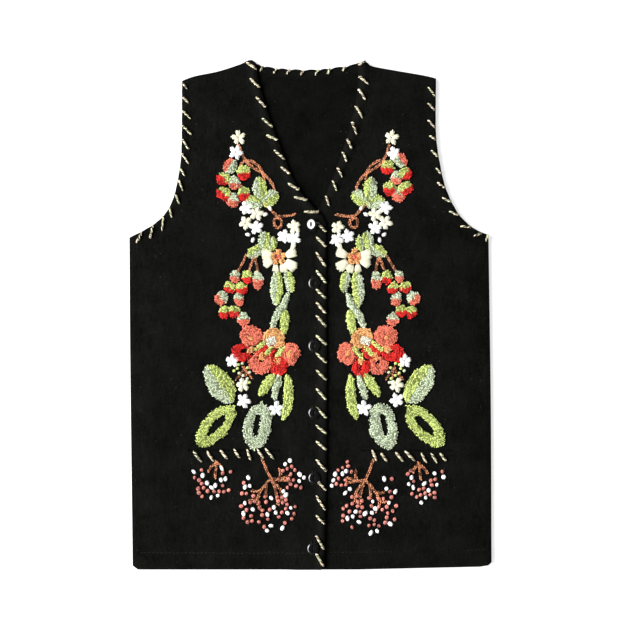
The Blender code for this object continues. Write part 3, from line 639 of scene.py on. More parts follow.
def waves_at(points):
    """The height of the long low waves at each point."""
    high = np.zeros(len(points))
    for turn, long, tall, start in WAVES:
        way = np.array([math.cos(math.radians(turn)), math.sin(math.radians(turn))])
        bend = 0.7 * np.sin(points @ np.array([-way[1], way[0]]) / (1.7 * long) + 2 * start)
        high += tall * np.sin(2 * math.pi * (points @ way) / long + start + bend)
    return high


def front_rest(points, side):
    """The underside of a front where nothing but the back and the pocket bag lies under it."""
    ending = "_left" if side > 0 else "_right"
    edge = distance(points, *[run(name + ending) for name in ("side", "armhole", "shoulder")])
    neck = distance(points, run("neck" + ending))
    settled = NECK_SETTLE + (1.0 - NECK_SETTLE) * ease(neck, 0.0, SETTLE)
    return CLOTH + SEAM_GAP + ease(edge, 0.0, SETTLE) * (AIR * settled + rises(points, FOLDS))


def creased(points, side):
    """Small creases and waves of the outer side, calm near the edges."""
    ending = "_left" if side > 0 else "_right"
    names = [name + ending for name in ("side", "armhole", "shoulder", "neck")]
    edge = distance(points, *[run(name) for name in names])
    return ease(edge, 3.0, 16.0) * (rises(points, CREASES) + waves_at(points))


def hem_height(points, hem):
    """The turned-up hem's band and the groove of its stitches."""
    up = distance(points, hem)
    band = HEM_HEIGHT * (1.0 - ease(up, HEM_WIDE - 1.0, HEM_WIDE + 2.0))
    return band - HEM_GROOVE * np.exp(-(((up - HEM_WIDE) / GROOVE_HALF) ** 2))


def roll_height(edge, high, wide):
    """A rounded roll along an edge, its cut edge turned down."""
    bump = high * np.sin(math.pi * np.clip(edge / wide, 0.0, 1.0)) ** 0.8
    return bump - ROLL_DROP * (1.0 - np.clip(edge / ROLL_CUT, 0.0, 1.0))


def seam_drop(edge):
    """How much thinner the cloth is where it turns into a seam."""
    return (CLOTH - SEAM_EDGE) * (1.0 - ease(edge, 0.0, SEAM_ROUND))


def slit_ends(side):
    """Both ends of a pocket's slit along X."""
    return sorted(on_front(out, POCKET_UP, side)[0] for out in POCKET_OUT)


def lip_height(points, side):
    """The rolled lip below a pocket's slit, a little dished at its foot."""
    low, high = slit_ends(side)
    below = POCKET_UP - points[:, 1]
    started = ease(points[:, 0], low - LIP_FADE, low + LIP_FADE)
    ends = started * (1.0 - ease(points[:, 0], high - LIP_FADE, high + LIP_FADE))
    roll = LIP_HEIGHT * np.sin(math.pi * np.clip(below / LIP_WIDE, 0.0, 1.0)) ** 0.8
    foot = 0.45 * np.exp(-(((below - LIP_WIDE) / 1.6) ** 2))
    return ends * (roll - foot)


def left_top(points):
    """The outer side of the wearer's left front."""
    edge = distance(points, run("side_left"), run("shoulder_left"))
    shown = ease(points[:, 1], ROLL_HIDES, ROLL_RETURNS)
    roll = shown * roll_height(distance(points, run("neck_left")), ROLL_HEIGHT, ROLL_WIDE)
    bound = roll_height(distance(points, run("armhole_left")), BOUND_HEIGHT, BOUND_WIDE)
    relief = roll + bound + hem_height(points, run("hem_left")) + lip_height(points, 1)
    clear = 1.0 - ease(-points[:, 0], -52.0, -30.0)
    return front_rest(points, 1) + CLOTH - seam_drop(edge) + relief + clear * creased(points, 1)


def lap_height(points):
    """How much the wearer's right front is lifted by the left front under it."""
    across = ease(points[:, 0], EDGES["underlap"][0][0] - LAP_BLEND, EDGES["underlap"][0][0] - LAP_START)
    upward = 1.0 - ease(points[:, 1], LAP_TOP, LAP_TOP + LAP_FADE)
    return across * upward * (CLOTH + LAP_GAP + np.maximum(0.0, hem_height(points, run("hem_left"))))


def right_rest(points):
    return front_rest(points, -1) + lap_height(points)


def left_rest(points):
    return front_rest(points, 1)


def right_top(points):
    """The outer side of the wearer's right front."""
    edge = distance(points, run("side_right"), run("shoulder_right"))
    rolled = (run("neck_right"), run("corner_right"), run("placket_right"))
    roll = roll_height(distance(points, *rolled), ROLL_HEIGHT, ROLL_WIDE)
    bound = roll_height(distance(points, run("armhole_right")), BOUND_HEIGHT, BOUND_WIDE)
    relief = roll + bound + hem_height(points, run("hem_right")) + lip_height(points, -1)
    return right_rest(points) + CLOTH - seam_drop(edge) + relief + creased(points, -1)


def back_top(points):
    """The inside of the back, with the rolled neck edge where no front lies on it."""
    low, high, foot = BACK_ROLL_BOX
    clear = ease(distance(points, run("neck_right"), run("neck_left")), *BACK_ROLL_CLEAR)
    clear *= (points[:, 0] > low) * (points[:, 0] < high) * (points[:, 1] > foot)
    return CLOTH + clear * roll_height(distance(points, run("back_neck")), BACK_ROLL_HEIGHT, BACK_ROLL_WIDE)


def back_under(points):
    """Flat where it rests, turned up a little along the side and shoulder seams."""
    names = ("side_right", "side_left", "shoulder_right", "shoulder_left")
    return seam_drop(distance(points, *[run(name) for name in names]))


def top_of(side):
    return left_top if side > 0 else right_top


# Meshes


def finished(name, data, materials, replaces=()):
    """An object from the mesh data, riding on the vest's one body."""
    for material in materials:
        data.materials.append(material)
    thing = bpy.data.objects.new(name, data)
    bpy.context.scene.collection.objects.link(thing)
    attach(thing, "root")
    if replaces:
        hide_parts(*replaces)
    return thing


def data_of(name, mesh, smooth=True):
    """Mesh data in metres from a bmesh in millimetres."""
    bmesh.ops.scale(mesh, vec=(MM, MM, MM), verts=mesh.verts)
    data = bpy.data.meshes.new(name)
    mesh.to_mesh(data)
    mesh.free()
    if smooth:
        data.shade_smooth()
    return data


def flat_of(verts):
    return np.array([vert.co.xy for vert in verts])


def verts_in(items):
    return [item for item in items if isinstance(item, bmesh.types.BMVert)]


def cut_at(mesh, faces, axis, stop, snap):
    """Cuts the faces along a line square to the axis. Gives what is left of them and the faces at the cut."""
    edges = {edge for face in faces for edge in face.edges}
    verts = {vert for face in faces for vert in face.verts}
    normal = Vector((1.0, 0.0, 0.0)) if axis == 0 else Vector((0.0, 1.0, 0.0))
    parts = list(verts) + list(edges) + list(faces)
    made = bmesh.ops.bisect_plane(mesh, geom=parts, dist=snap, plane_co=normal * stop, plane_no=normal)
    cuts = [item for item in made["geom_cut"] if isinstance(item, bmesh.types.BMEdge)]
    return {face for face in faces if face.is_valid} | {face for edge in cuts for face in edge.link_faces}


def cut_lines(mesh, faces, axis, stops):
    """Cuts the faces along lines square to the axis. Each cut works only on what lies beyond the last."""
    beyond = set(faces)
    done = set()
    for stop in stops:
        everything = cut_at(mesh, beyond, axis, stop, 0.2)
        beyond = {face for face in everything if max(vert.co[axis] for vert in face.verts) > stop + 0.3}
        done |= everything - beyond
    return done | beyond


def gridded(mesh, face, low, high, step):
    """Cuts a face into squares a step wide, none much smaller at its ends."""
    pieces = [face]
    for axis in (0, 1):
        pieces = cut_lines(mesh, pieces, axis, np.arange(low[axis] + 4.0, high[axis] - 3.0, step))
    return pieces


def cut_window(mesh, low, high):
    """Cuts a small rectangle out of the cloth."""
    margin = 2.0
    near = [
        face
        for face in mesh.faces
        if all(
            min(vert.co[axis] for vert in face.verts) < high[axis] + margin
            and max(vert.co[axis] for vert in face.verts) > low[axis] - margin
            for axis in (0, 1)
        )
    ]
    for axis in (0, 1):
        for stop in (low[axis], high[axis]):
            near = cut_at(mesh, near, axis, stop, 0.01)
    gone = []
    for face in near:
        middle = face.calc_center_median()
        if low[0] < middle.x < high[0] and low[1] < middle.y < high[1]:
            gone.append(face)
    bmesh.ops.delete(mesh, geom=gone, context="FACES")


def drawn_in(loop, places, depth=STITCH_PULL, reach=PULL_REACH):
    """The loop pulled in a little where a stitch goes round it."""
    along = np.roll(loop, -1, axis=0) - np.roll(loop, 1, axis=0)
    along /= np.linalg.norm(along, axis=1)[:, None]
    inward = np.column_stack([-along[:, 1], along[:, 0]])
    for place in places:
        away = np.linalg.norm(loop - place, axis=1)
        loop = loop + inward * (depth * np.exp(-((away / reach) ** 2)))[:, None]
    return loop


def cloth_data(name, loop, windows, top, under, step, rolled):
    """A wall of cloth: a flat sheet cut to its outline, extruded and then laid to its heights.

    rolled gives the lines whose rolled edges get a painted highlight along their crests.
    """
    mesh = bmesh.new()
    layer = mesh.verts.layers.float.new("roll")
    sheet = mesh.faces.new([mesh.verts.new((x, y, 0.0)) for x, y in loop])
    for amount in EDGE_INSETS:
        bmesh.ops.inset_region(mesh, faces=[sheet], thickness=amount, use_even_offset=True, use_boundary=True)
    gridded(mesh, sheet, loop.min(axis=0), loop.max(axis=0), step)
    for corner, far in windows:
        cut_window(mesh, corner, far)
    mesh.normal_update()
    lower = list(mesh.verts)
    made = bmesh.ops.extrude_face_region(mesh, geom=list(mesh.faces), use_keep_orig=True)
    upper = verts_in(made["geom"])
    for verts, heights in ((lower, under(flat_of(lower))), (upper, top(flat_of(upper)))):
        for vert, height in zip(verts, heights):
            vert.co.z = height
    # Painted highlight: each point's share of a roll's crest, which the knit lightens
    crest = np.sin(math.pi * np.clip(distance(flat_of(upper), *rolled) / ROLL_WIDE, 0.0, 1.0))
    for vert, share in zip(upper, crest):
        vert[layer] = share
    uppers = set(upper)
    rim = [edge for edge in mesh.edges if (edge.verts[0] in uppers) != (edge.verts[1] in uppers)]
    made = bmesh.ops.subdivide_edges(mesh, edges=rim, cuts=1)
    middles = verts_in(made["geom_inner"])
    bmesh.ops.recalc_face_normals(mesh, faces=mesh.faces)
    mesh.normal_update()
    for vert in middles:
        outward = Vector((vert.normal.x, vert.normal.y, 0.0))
        if outward.length > 0.2:
            vert.co += outward.normalized() * EDGE_BULGE
    return data_of(name, mesh)


# Shader groups and materials


def group_of(name, inputs, outputs):
    """A node group with the named sockets, and its input and output nodes."""
    tree = bpy.data.node_groups.new(name, "ShaderNodeTree")
    for title, kind, value in inputs:
        socket = tree.interface.new_socket(title, in_out="INPUT", socket_type=kind)
        if value is not None:
            socket.default_value = value
    for title, kind in outputs:
        tree.interface.new_socket(title, in_out="OUTPUT", socket_type=kind)
    return tree, tree.nodes.new("NodeGroupInput"), tree.nodes.new("NodeGroupOutput")


def put(tree, socket, value):
    """Links a socket to another, or sets its value."""
    if isinstance(value, bpy.types.NodeSocket):
        tree.links.new(value, socket)
    else:
        socket.default_value = value


def maths(tree, operation, *values):
    node = tree.nodes.new("ShaderNodeMath")
    node.operation = operation
    for socket, value in zip(node.inputs, values):
        put(tree, socket, value)
    return node.outputs[0]


def times(tree, first, second):
    return maths(tree, "MULTIPLY", first, second)


def plus(tree, first, second):
    return maths(tree, "ADD", first, second)


def noise(tree, vector, scale, detail=2.0, roughness=0.5, distortion=0.0):
    node = tree.nodes.new("ShaderNodeTexNoise")
    put(tree, node.inputs["Vector"], vector)
    put(tree, node.inputs["Scale"], scale)
    node.inputs["Detail"].default_value = detail
    node.inputs["Roughness"].default_value = roughness
    node.inputs["Distortion"].default_value = distortion
    return node


def stretched(tree, value, low, high, new_low=0.0, new_high=1.0):
    node = tree.nodes.new("ShaderNodeMapRange")
    for title, number in (("From Min", low), ("From Max", high), ("To Min", new_low), ("To Max", new_high)):
        node.inputs[title].default_value = number
    put(tree, node.inputs["Value"], value)
    return node.outputs[0]


def mixed(tree, share, first, second):
    node = tree.nodes.new("ShaderNodeMix")
    node.data_type = "RGBA"
    put(tree, node.inputs[0], share)
    put(tree, node.inputs[6], first)
    put(tree, node.inputs[7], second)
    return node.outputs[2]


def knit_group():
    """Columns of V stitches: how high the yarn stands, from a place on the cloth."""
    if "knit_stitches" in bpy.data.node_groups:
        return bpy.data.node_groups["knit_stitches"]
    inputs = [
        ("Vector", "NodeSocketVector", None),
        ("Wale", "NodeSocketFloat", 0.0023),
        ("Course", "NodeSocketFloat", 0.0019),
    ]
    tree, given, out = group_of("knit_stitches", inputs, [("Height", "NodeSocketFloat")])
    bend = noise(tree, given.outputs["Vector"], 160.0, 2.0)
    shift = tree.nodes.new("ShaderNodeVectorMath")
    shift.operation = "MULTIPLY_ADD"
    put(tree, shift.inputs[0], bend.outputs["Color"])
    shift.inputs[1].default_value = (0.0016, 0.0016, 0.0)
    put(tree, shift.inputs[2], given.outputs["Vector"])
    apart = tree.nodes.new("ShaderNodeSeparateXYZ")
    put(tree, apart.inputs[0], shift.outputs[0])
    column = maths(tree, "DIVIDE", apart.outputs["X"], given.outputs["Wale"])
    leg = maths(tree, "PINGPONG", column, 0.5)
    row = maths(tree, "DIVIDE", apart.outputs["Y"], given.outputs["Course"])
    slanted = maths(tree, "SUBTRACT", row, times(tree, leg, 1.4))
    stitch = maths(tree, "PINGPONG", slanted, 0.5)
    across = maths(tree, "PINGPONG", times(tree, column, 2.0), 0.5)
    rounded = maths(tree, "SQRT", times(tree, across, 2.0))
    height = times(tree, rounded, plus(tree, stitch, 0.5))
    put(tree, out.inputs["Height"], height)
    return tree


def fibre_group():
    """Tangled fibres: their height, a slow change of tone and a few specks of lint."""
    if "wool_fibres" in bpy.data.node_groups:
        return bpy.data.node_groups["wool_fibres"]
    inputs = [("Vector", "NodeSocketVector", None), ("Fineness", "NodeSocketFloat", 900.0)]
    outputs = [("Height", "NodeSocketFloat"), ("Tone", "NodeSocketFloat"), ("Lint", "NodeSocketFloat")]
    tree, given, out = group_of("wool_fibres", inputs, outputs)
    vector = given.outputs["Vector"]
    fibres = noise(tree, vector, given.outputs["Fineness"], 4.0, 0.65, 1.6)
    put(tree, out.inputs["Height"], stretched(tree, fibres.outputs["Fac"], 0.3, 0.7))
    slow = noise(tree, vector, 34.0, 3.0, 0.6)
    quick = noise(tree, vector, 420.0, 2.0, 0.6)
    tone = times(tree, slow.outputs["Fac"], 0.45)
    tone = plus(tree, tone, times(tree, quick.outputs["Fac"], 0.55))
    put(tree, out.inputs["Tone"], stretched(tree, tone, 0.33, 0.67))
    cells = tree.nodes.new("ShaderNodeTexVoronoi")
    put(tree, cells.inputs["Vector"], vector)
    cells.inputs["Scale"].default_value = 150.0
    near = maths(tree, "LESS_THAN", cells.outputs["Distance"], 0.075)
    chosen = tree.nodes.new("ShaderNodeSeparateColor")
    put(tree, chosen.inputs[0], cells.outputs["Color"])
    rare = maths(tree, "GREATER_THAN", chosen.outputs[0], 0.8)
    put(tree, out.inputs["Lint"], times(tree, near, rare))
    return tree


def used(tree, group, **values):
    """A group placed in a material with its own values."""
    node = tree.nodes.new("ShaderNodeGroup")
    node.node_tree = group
    for title, value in values.items():
        put(tree, node.inputs[title], value)
    return node


def new_material(name):
    material = bpy.data.materials.new(name)
    material.use_nodes = True
    tree = material.node_tree
    place = tree.nodes.new("ShaderNodeTexCoord").outputs["Object"]
    return material, tree, tree.nodes["Principled BSDF"], place


def rgba(colour, factor=1.0):
    return (*[min(1.0, part * factor) for part in colour], 1.0)


def bumped(tree, shader, height, distance_of, strength=1.0):
    node = tree.nodes.new("ShaderNodeBump")
    node.inputs["Strength"].default_value = strength
    node.inputs["Distance"].default_value = distance_of
    put(tree, node.inputs["Height"], height)
    put(tree, shader.inputs["Normal"], node.outputs["Normal"])


def sized():
    return bpy.context.scene.vest_sizes


def coloured():
    return bpy.context.scene.vest_colours


def knit_material(name, colour, wale, course, depth):
    """Brushed knit: soft V stitches under a nap of fibres, with upright streaks, a little lint, painted shade
    in the stitches' grooves and a painted highlight along rolled crests.
    """
    if name in bpy.data.materials:
        return bpy.data.materials[name]
    material, tree, shader, place = new_material(name)
    knit = used(tree, knit_group(), Vector=place, Wale=wale, Course=course)
    nap = used(tree, fibre_group(), Vector=place, Fineness=900.0)
    narrow = tree.nodes.new("ShaderNodeVectorMath")
    narrow.operation = "MULTIPLY"
    put(tree, narrow.inputs[0], place)
    narrow.inputs[1].default_value = (1.0, 0.14, 1.0)
    streak = noise(tree, narrow.outputs[0], 480.0, 2.0, 0.6)
    tone = plus(tree, times(tree, nap.outputs["Tone"], 0.8), -0.11)
    tone = plus(tree, tone, stretched(tree, streak.outputs["Fac"], 0.3, 0.7, 0.0, 0.34))
    body = mixed(tree, tone, rgba(colour, 0.25), rgba(colour, 2.1))
    # Painted shade: the low grooves between the knit's stitches are darkened
    body = mixed(tree, stretched(tree, knit.outputs["Height"], 0.0, 1.0, 0.30, 0.0), body, rgba(colour, 0.35))
    # Painted highlight: the rolled edges' crests are lightened towards three times the colour
    roll = tree.nodes.new("ShaderNodeAttribute")
    roll.attribute_name = "roll"
    body = mixed(tree, times(tree, roll.outputs["Fac"], 0.30), body, rgba(colour, 3.0))
    body = mixed(tree, nap.outputs["Lint"], body, rgba(coloured().lint))
    put(tree, shader.inputs["Base Color"], body)
    put(tree, shader.inputs["Roughness"], stretched(tree, nap.outputs["Height"], 0.0, 1.0, 1.0, 0.88))
    height = plus(tree, knit.outputs["Height"], times(tree, nap.outputs["Height"], 0.9))
    bumped(tree, shader, height, depth, 0.75)
    shader.inputs["Specular IOR Level"].default_value = 0.02
    material.diffuse_color = rgba(colour)
    return material


def front_material():
    """The knit of both fronts."""
    return knit_material("brushed_knit", coloured().knit, sized().wale, sized().course, 0.0006)


def pocketing_material():
    """Plain woven cotton, finer and flatter than the knit."""
    return knit_material("woven_pocketing", coloured().pocketing, 0.0009, 0.0009, 0.00015)


def yarn_material(name, colour, pale=0.2, dark=0.42, own_share=0.3, tints=None):
    """Spun wool, from dark to pale, stitch by stitch and, by own_share, along the fibres. The dark end
    carries painted shade as well as random dull tone, and the pale end, mixed towards white, is a painted
    highlight.
    """
    if name in bpy.data.materials:
        return bpy.data.materials[name]
    material, tree, shader, place = new_material(name)
    own = tree.nodes.new("ShaderNodeAttribute")
    own.attribute_name = "tone"
    fibres = used(tree, fibre_group(), Vector=place, Fineness=1500.0)
    strand = times(tree, fibres.outputs["Tone"], own_share)
    tone = plus(tree, times(tree, own.outputs["Fac"], 1.0 - own_share), strand)
    # Painted highlight: the colour mixed towards white where the tone is high
    lit = [part + pale * (0.95 - part) for part in colour]
    body = mixed(tree, tone, rgba(colour, dark), rgba(lit))
    if tints:
        slow = noise(tree, place, 26.0, 1.0)
        share = stretched(tree, slow.outputs["Fac"], 0.42, 0.58)
        tinted = [mixed(tree, tone, rgba(colour, dark), rgba(np.multiply(lit, tint))) for tint in tints]
        body = mixed(tree, share, *tinted)
    put(tree, shader.inputs["Base Color"], body)
    put(tree, shader.inputs["Roughness"], stretched(tree, fibres.outputs["Height"], 0.0, 1.0, 0.95, 0.7))
    bumped(tree, shader, fibres.outputs["Height"], 0.0003, 0.6)
    shader.inputs["Specular IOR Level"].default_value = 0.2
    shader.inputs["Sheen Weight"].default_value = 0.06
    shader.inputs["Sheen Roughness"].default_value = 0.5
    shader.inputs["Sheen Tint"].default_value = rgba(colour, 1.3)
    material.diffuse_color = rgba(colour)
    return material


def yarn_materials():
    """The embroidery's yarns in the order of YARNS."""
    colours = coloured()
    return [
        yarn_material(f"wool_{name}", getattr(colours, name), *TONE_SPANS.get(name, USUAL_SPAN))
        for name in YARNS
    ]


def resin_material():
    """Polished black resin with faint rubbing marks."""
    if "black_resin" in bpy.data.materials:
        return bpy.data.materials["black_resin"]
    material, tree, shader, place = new_material("black_resin")
    colour = coloured().button
    cloud = noise(tree, place, 240.0, 3.0)
    body = mixed(tree, cloud.outputs["Fac"], rgba(colour, 0.7), rgba(colour, 1.6))
    put(tree, shader.inputs["Base Color"], body)
    marks = noise(tree, place, 2600.0, 2.0, 0.6, 2.0)
    put(tree, shader.inputs["Roughness"], stretched(tree, marks.outputs["Fac"], 0.3, 0.8, 0.05, 0.10))
    bumped(tree, shader, marks.outputs["Fac"], 0.00001, 0.3)
    shader.inputs["Specular IOR Level"].default_value = 0.12
    shader.inputs["Coat Roughness"].default_value = 0.03
    put(tree, shader.inputs["Coat Weight"], stretched(tree, cloud.outputs["Fac"], 0.2, 0.8, 0.7, 0.95))
    material.diffuse_color = rgba(colour)
    return material


# Copies of small stitches


# shade is a painted shade factor for each point, darker towards a stitch's foot
Shape = namedtuple("Shape", "verts faces shade")
Places = namedtuple("Places", "middle turn scale tone yarn")


def spun(mesh, matrix, radius, sides, axis, angle, steps, merge):
    """A circle of yarn spun about an axis through the origin."""
    made = bmesh.ops.create_circle(mesh, segments=sides, radius=radius, matrix=matrix)
    circle = made["verts"] + list({edge for vert in made["verts"] for edge in vert.link_edges})
    bmesh.ops.spin(mesh, geom=circle, cent=(0, 0, 0), axis=axis, angle=angle, steps=steps, use_merge=merge)


def shape_of(mesh, foot, sunk=()):
    """The points, faces and painted shade of a small closed bmesh: darker at its foot and where it is sunk,
    where shade would fall.
    """
    bmesh.ops.recalc_face_normals(mesh, faces=mesh.faces)
    mesh.verts.index_update()
    verts = np.array([vert.co[:] for vert in mesh.verts])
    faces = [[vert.index for vert in face.verts] for face in mesh.faces]
    low, high = verts[:, 2].min(), verts[:, 2].max()
    shade = foot + (1.0 - foot) * ease(verts[:, 2], low + 0.2 * (high - low), low + 0.85 * (high - low))
    shade[[vert.index for vert in sunk]] *= 0.35
    mesh.free()
    return Shape(verts, faces, shade)


def arch_shape(long, high, yarn, steps=4, sides=4):
    """One loop of yarn that stands on both feet."""
    mesh = bmesh.new()
    half = long / 2 - yarn
    spun(mesh, Matrix.Translation((half, 0.0, 0.0)), yarn, sides, (0, 1, 0), -math.pi, steps, False)
    bmesh.ops.holes_fill(mesh, edges=mesh.edges, sides=sides)
    bmesh.ops.scale(mesh, vec=(1.0, 1.0, high / (half + yarn)), verts=mesh.verts)
    return shape_of(mesh, 0.3)


def grain_shape(long, wide, high, around=6, rings=5):
    """A plump satin thread, round at both ends, lying along X."""
    mesh = bmesh.new()
    lying = Matrix.Rotation(math.radians(90.0), 4, "Y")
    bmesh.ops.create_uvsphere(mesh, u_segments=around, v_segments=rings, radius=0.5, matrix=lying)
    for vert in mesh.verts:
        vert.co.x = math.copysign(abs(2 * vert.co.x) ** 0.8 / 2, vert.co.x)
    bmesh.ops.scale(mesh, vec=(long, wide, high), verts=mesh.verts)
    return shape_of(mesh, 0.4)


def knot_shape(radius):
    """A French knot: yarn wound round itself, with a dimple where it goes down."""
    mesh = bmesh.new()
    wound = 0.52 * radius
    ring = Matrix.Translation((radius - wound, 0.0, 0.0)) @ Matrix.Rotation(math.radians(90.0), 4, "X")
    spun(mesh, ring, wound, 5, (0, 0, 1), 2 * math.pi, 8, True)
    bmesh.ops.remove_doubles(mesh, verts=mesh.verts, dist=0.01)
    for vert in mesh.verts:
        vert.co.z += 0.12 * radius * math.sin(2 * math.atan2(vert.co.y, vert.co.x))
    core = Matrix.Translation((0.0, 0.0, 0.05 * radius)) @ Matrix.Diagonal((1.0, 1.0, 0.7, 1.0))
    made = bmesh.ops.create_icosphere(mesh, subdivisions=1, radius=0.62 * radius, matrix=core)
    # Painted shade: the core's points are darkened as the shade in the knot's dimple
    return shape_of(mesh, 0.05, made["verts"])


def scattered(name, batches):
    """One mesh of many small copies. Each batch is a shape and its places."""
    verts, faces, tones, yarns = [], [], [], []
    start = 0
    for shape, places in batches:
        count = len(places.middle)
        if count == 0:
            continue
        sized_points = shape.verts[None] * places.scale[:, None, :]
        cos, sin = np.cos(places.turn)[:, None], np.sin(places.turn)[:, None]
        x = sized_points[..., 0] * cos - sized_points[..., 1] * sin
        y = sized_points[..., 0] * sin + sized_points[..., 1] * cos
        moved = np.stack([x, y, sized_points[..., 2]], axis=-1) + places.middle[:, None, :]
        verts.append(moved.reshape(-1, 3))
        for index in range(count):
            here = start + index * len(shape.verts)
            faces += [[here + corner for corner in face] for face in shape.faces]
        # Each copy's random tone times its shape's painted shade
        tones.append(np.outer(places.tone, shape.shade).ravel())
        yarns.append(np.repeat(places.yarn, len(shape.faces)))
        start += count * len(shape.verts)
    data = bpy.data.meshes.new(name)
    data.from_pydata(np.vstack(verts) * MM, [], faces)
    data.polygons.foreach_set("material_index", np.concatenate(yarns).astype(np.int32))
    tone = data.attributes.new("tone", "FLOAT", "POINT")
    tone.data.foreach_set("value", np.concatenate(tones).astype(np.float32))
    data.shade_smooth()
    data.update()
    return data


def placed(flat, lift, turn, scale, tone, yarn, side):
    """Places on a front for copies of a stitch."""
    flat = np.asarray(flat, float).reshape(-1, 2)
    count = len(flat)
    height = top_of(side)(flat) + lift if count else np.zeros(0)
    return Places(
        np.column_stack([flat, height]),
        np.full(count, turn, float),
        np.full((count, 3), scale, float),
        np.full(count, tone, float),
        np.full(count, yarn, int),
    )


# Tufted embroidery


# A patch changes to its second yarn beyond split, along way. Its tufts lie by its flow: ring, leaf or edge
Patch = namedtuple("Patch", "loop hole yarn second split way ragged flow core")


def plain_patch(loop, yarn, core=None, hole=None):
    """A patch in one yarn. Its tufts run round its core, or along its edge where it has none."""
    return Patch(loop, hole, yarn, yarn, loop[0], LEVEL, 0.0, "edge" if core is None else "ring", core)


def oval(out, up, long, wide, turn, side, count=22):
    """An oval's outline on a front, its turn mirrored with the side."""
    lean = math.radians(turn if side > 0 else 180.0 - turn)
    angles = np.linspace(0.0, 2 * math.pi, count, endpoint=False)
    shape = np.column_stack([long / 2 * np.cos(angles), wide / 2 * np.sin(angles)])
    spin = np.array([[math.cos(lean), math.sin(lean)], [-math.sin(lean), math.cos(lean)]])
    return shape @ spin + on_front(out, up, side)


def mirrored_way(turn, side):
    """A direction given on the wearer's left front, mirrored where the side is the other."""
    angle = math.radians(turn)
    return np.array([side * math.cos(angle), math.sin(angle)])


def wavy(loop, amount, rng):
    """The loop with the small unevenness of hand work."""
    middle = loop.mean(axis=0)
    reach = 1.0 + amount * rng.uniform(-1.0, 1.0, len(loop)) / np.linalg.norm(loop - middle, axis=1)
    return middle + (loop - middle) * reach[:, None]


def leaf_loop(leaf, side, count=9):
    """A pointed oval from its stalk to its tip."""
    start = on_front(leaf.out, leaf.up, side)
    end = on_front(leaf.tip_out, leaf.tip_up, side)
    along = end - start
    across = np.array([-along[1], along[0]]) / np.linalg.norm(along)
    share = np.linspace(0.0, 1.0, count + 2)[1:-1, None]
    half = leaf.wide / 2 * np.sin(math.pi * share**0.94) ** 0.52
    there = start + share * along - half * across
    back = (start + share * along + half * across)[::-1]
    return np.vstack([start[None], there, end[None], back])


def strip_loop(strip, side):
    """A long curved leaf, narrow at both ends."""
    line = smooth_run([on_front(out, up, side) for out, up in strip.path], 4.5)
    share = np.linspace(0.0, 1.0, len(line))
    half = strip.wide / 2 * np.maximum(np.sin(math.pi * share), 0.05) ** 0.5
    along = np.gradient(line, axis=0)
    across = np.column_stack([-along[:, 1], along[:, 0]]) / np.linalg.norm(along, axis=1)[:, None]
    return np.vstack([line - half[:, None] * across, (line + half[:, None] * across)[::-1][1:-1]])


def leaf_patch(leaf, side, rng, hollow=None):
    """A leaf in two tones, its stitches slanting away from the rib."""
    start = on_front(leaf.out, leaf.up, side)
    along = on_front(leaf.tip_out, leaf.tip_up, side) - start
    along /= np.linalg.norm(along)
    across = np.array([-along[1], along[0]])
    upright = abs(along[1]) > 0.5
    away = across * (math.copysign(1.0, across[0] * side) if upright else -np.sign(across[1]))
    hole = leaf_loop(hollow, side, 6) if hollow else None
    loop = wavy(leaf_loop(leaf, side), 0.035 * leaf.wide, rng)
    return Patch(loop, hole, leaf.inner, leaf.outer, start, away, 0.9, "leaf", along)


def berry_patches(side, rng):
    """Round berries, each with a cap of another yarn."""
    shift = np.array(LEFT_TOP_SHIFT) if side > 0 else np.zeros(2)
    patches = []
    for berry in BERRIES:
        move = shift if berry.up > 100 else np.zeros(2)
        out, up = berry.out + move[0], berry.up + move[1]
        if side > 0 and 100 < berry.up < LEFT_CLOSE_BELOW:
            out = LEFT_CLOSE_MIDDLE + LEFT_CLOSE_SHARE * (out - LEFT_CLOSE_MIDDLE)
        grown = 1.27 if berry.up > 100 else 1.1
        loop = wavy(oval(out, up, grown * berry.long, grown * berry.wide, berry.turn, side), 0.7, rng)
        way = mirrored_way(berry.cap_turn, side)
        core = on_front(out, up, side)
        patches.append(Patch(loop, None, berry.fruit, berry.cap, core - 0.4 * way, way, 1.5, "ring", core))
    return patches


def leaf_patches(side, rng):
    """Leaves, hollow leaves and long curved ones."""
    patches = [leaf_patch(leaf, side, rng) for leaf in LEAVES]
    patches += [leaf_patch(leaf, side, rng, hollow) for leaf, hollow in RINGS]
    for strip in STRIPS:
        patches.append(plain_patch(wavy(strip_loop(strip, side), 0.4, rng), strip.yarn))
    return patches


def flower_patches(side, rng):
    """The small flower's middle and beads, the stamens and the large flower's petals."""
    patches = []
    for stroke in STAMENS:
        start, end = on_front(stroke[0], stroke[1], side), on_front(stroke[2], stroke[3], side)
        along = (end - start) / np.linalg.norm(end - start)
        across = np.array([-along[1], along[0]])
        turns = np.linspace(0, 2 * math.pi, 14, endpoint=False)
        half = np.linalg.norm(end - start) / 2
        flat = np.outer(np.cos(turns) * half, along) + np.outer(np.sin(turns) * STAMEN_HALF, across)
        patches.append(plain_patch(flat + (start + end) / 2, "yellow_green"))
    for petal in FLOWER_TOP + FLOWER_LOW[side] + FLOWER_UNDER:
        loop = wavy(oval(petal.out, petal.up, petal.long + 1.0, petal.wide + 1.0, petal.turn, side), 1.1, rng)
        hole = oval(*petal.hole, side, 8) if petal.hole else None
        core = on_front(petal.out, petal.up, side)
        patches.append(plain_patch(loop, petal.yarn, core, hole))
    for turn in range(0, 360, 72):
        way = mirrored_way(turn + 18, side)
        middle = on_front(*SMALL_FLOWER, side) + 6.4 * way
        loop = wavy(circle_at(middle, 5.0), 0.4, rng)
        patches.append(plain_patch(loop, "orange", middle))
    middle = on_front(*SMALL_FLOWER, side)
    patches.insert(0, plain_patch(circle_at(middle, 3.8), "coral", middle))
    return patches


def circle_at(middle, radius, count=14):
    turns = np.linspace(0.0, 2 * math.pi, count, endpoint=False)
    return middle + radius * np.column_stack([np.cos(turns), np.sin(turns)])


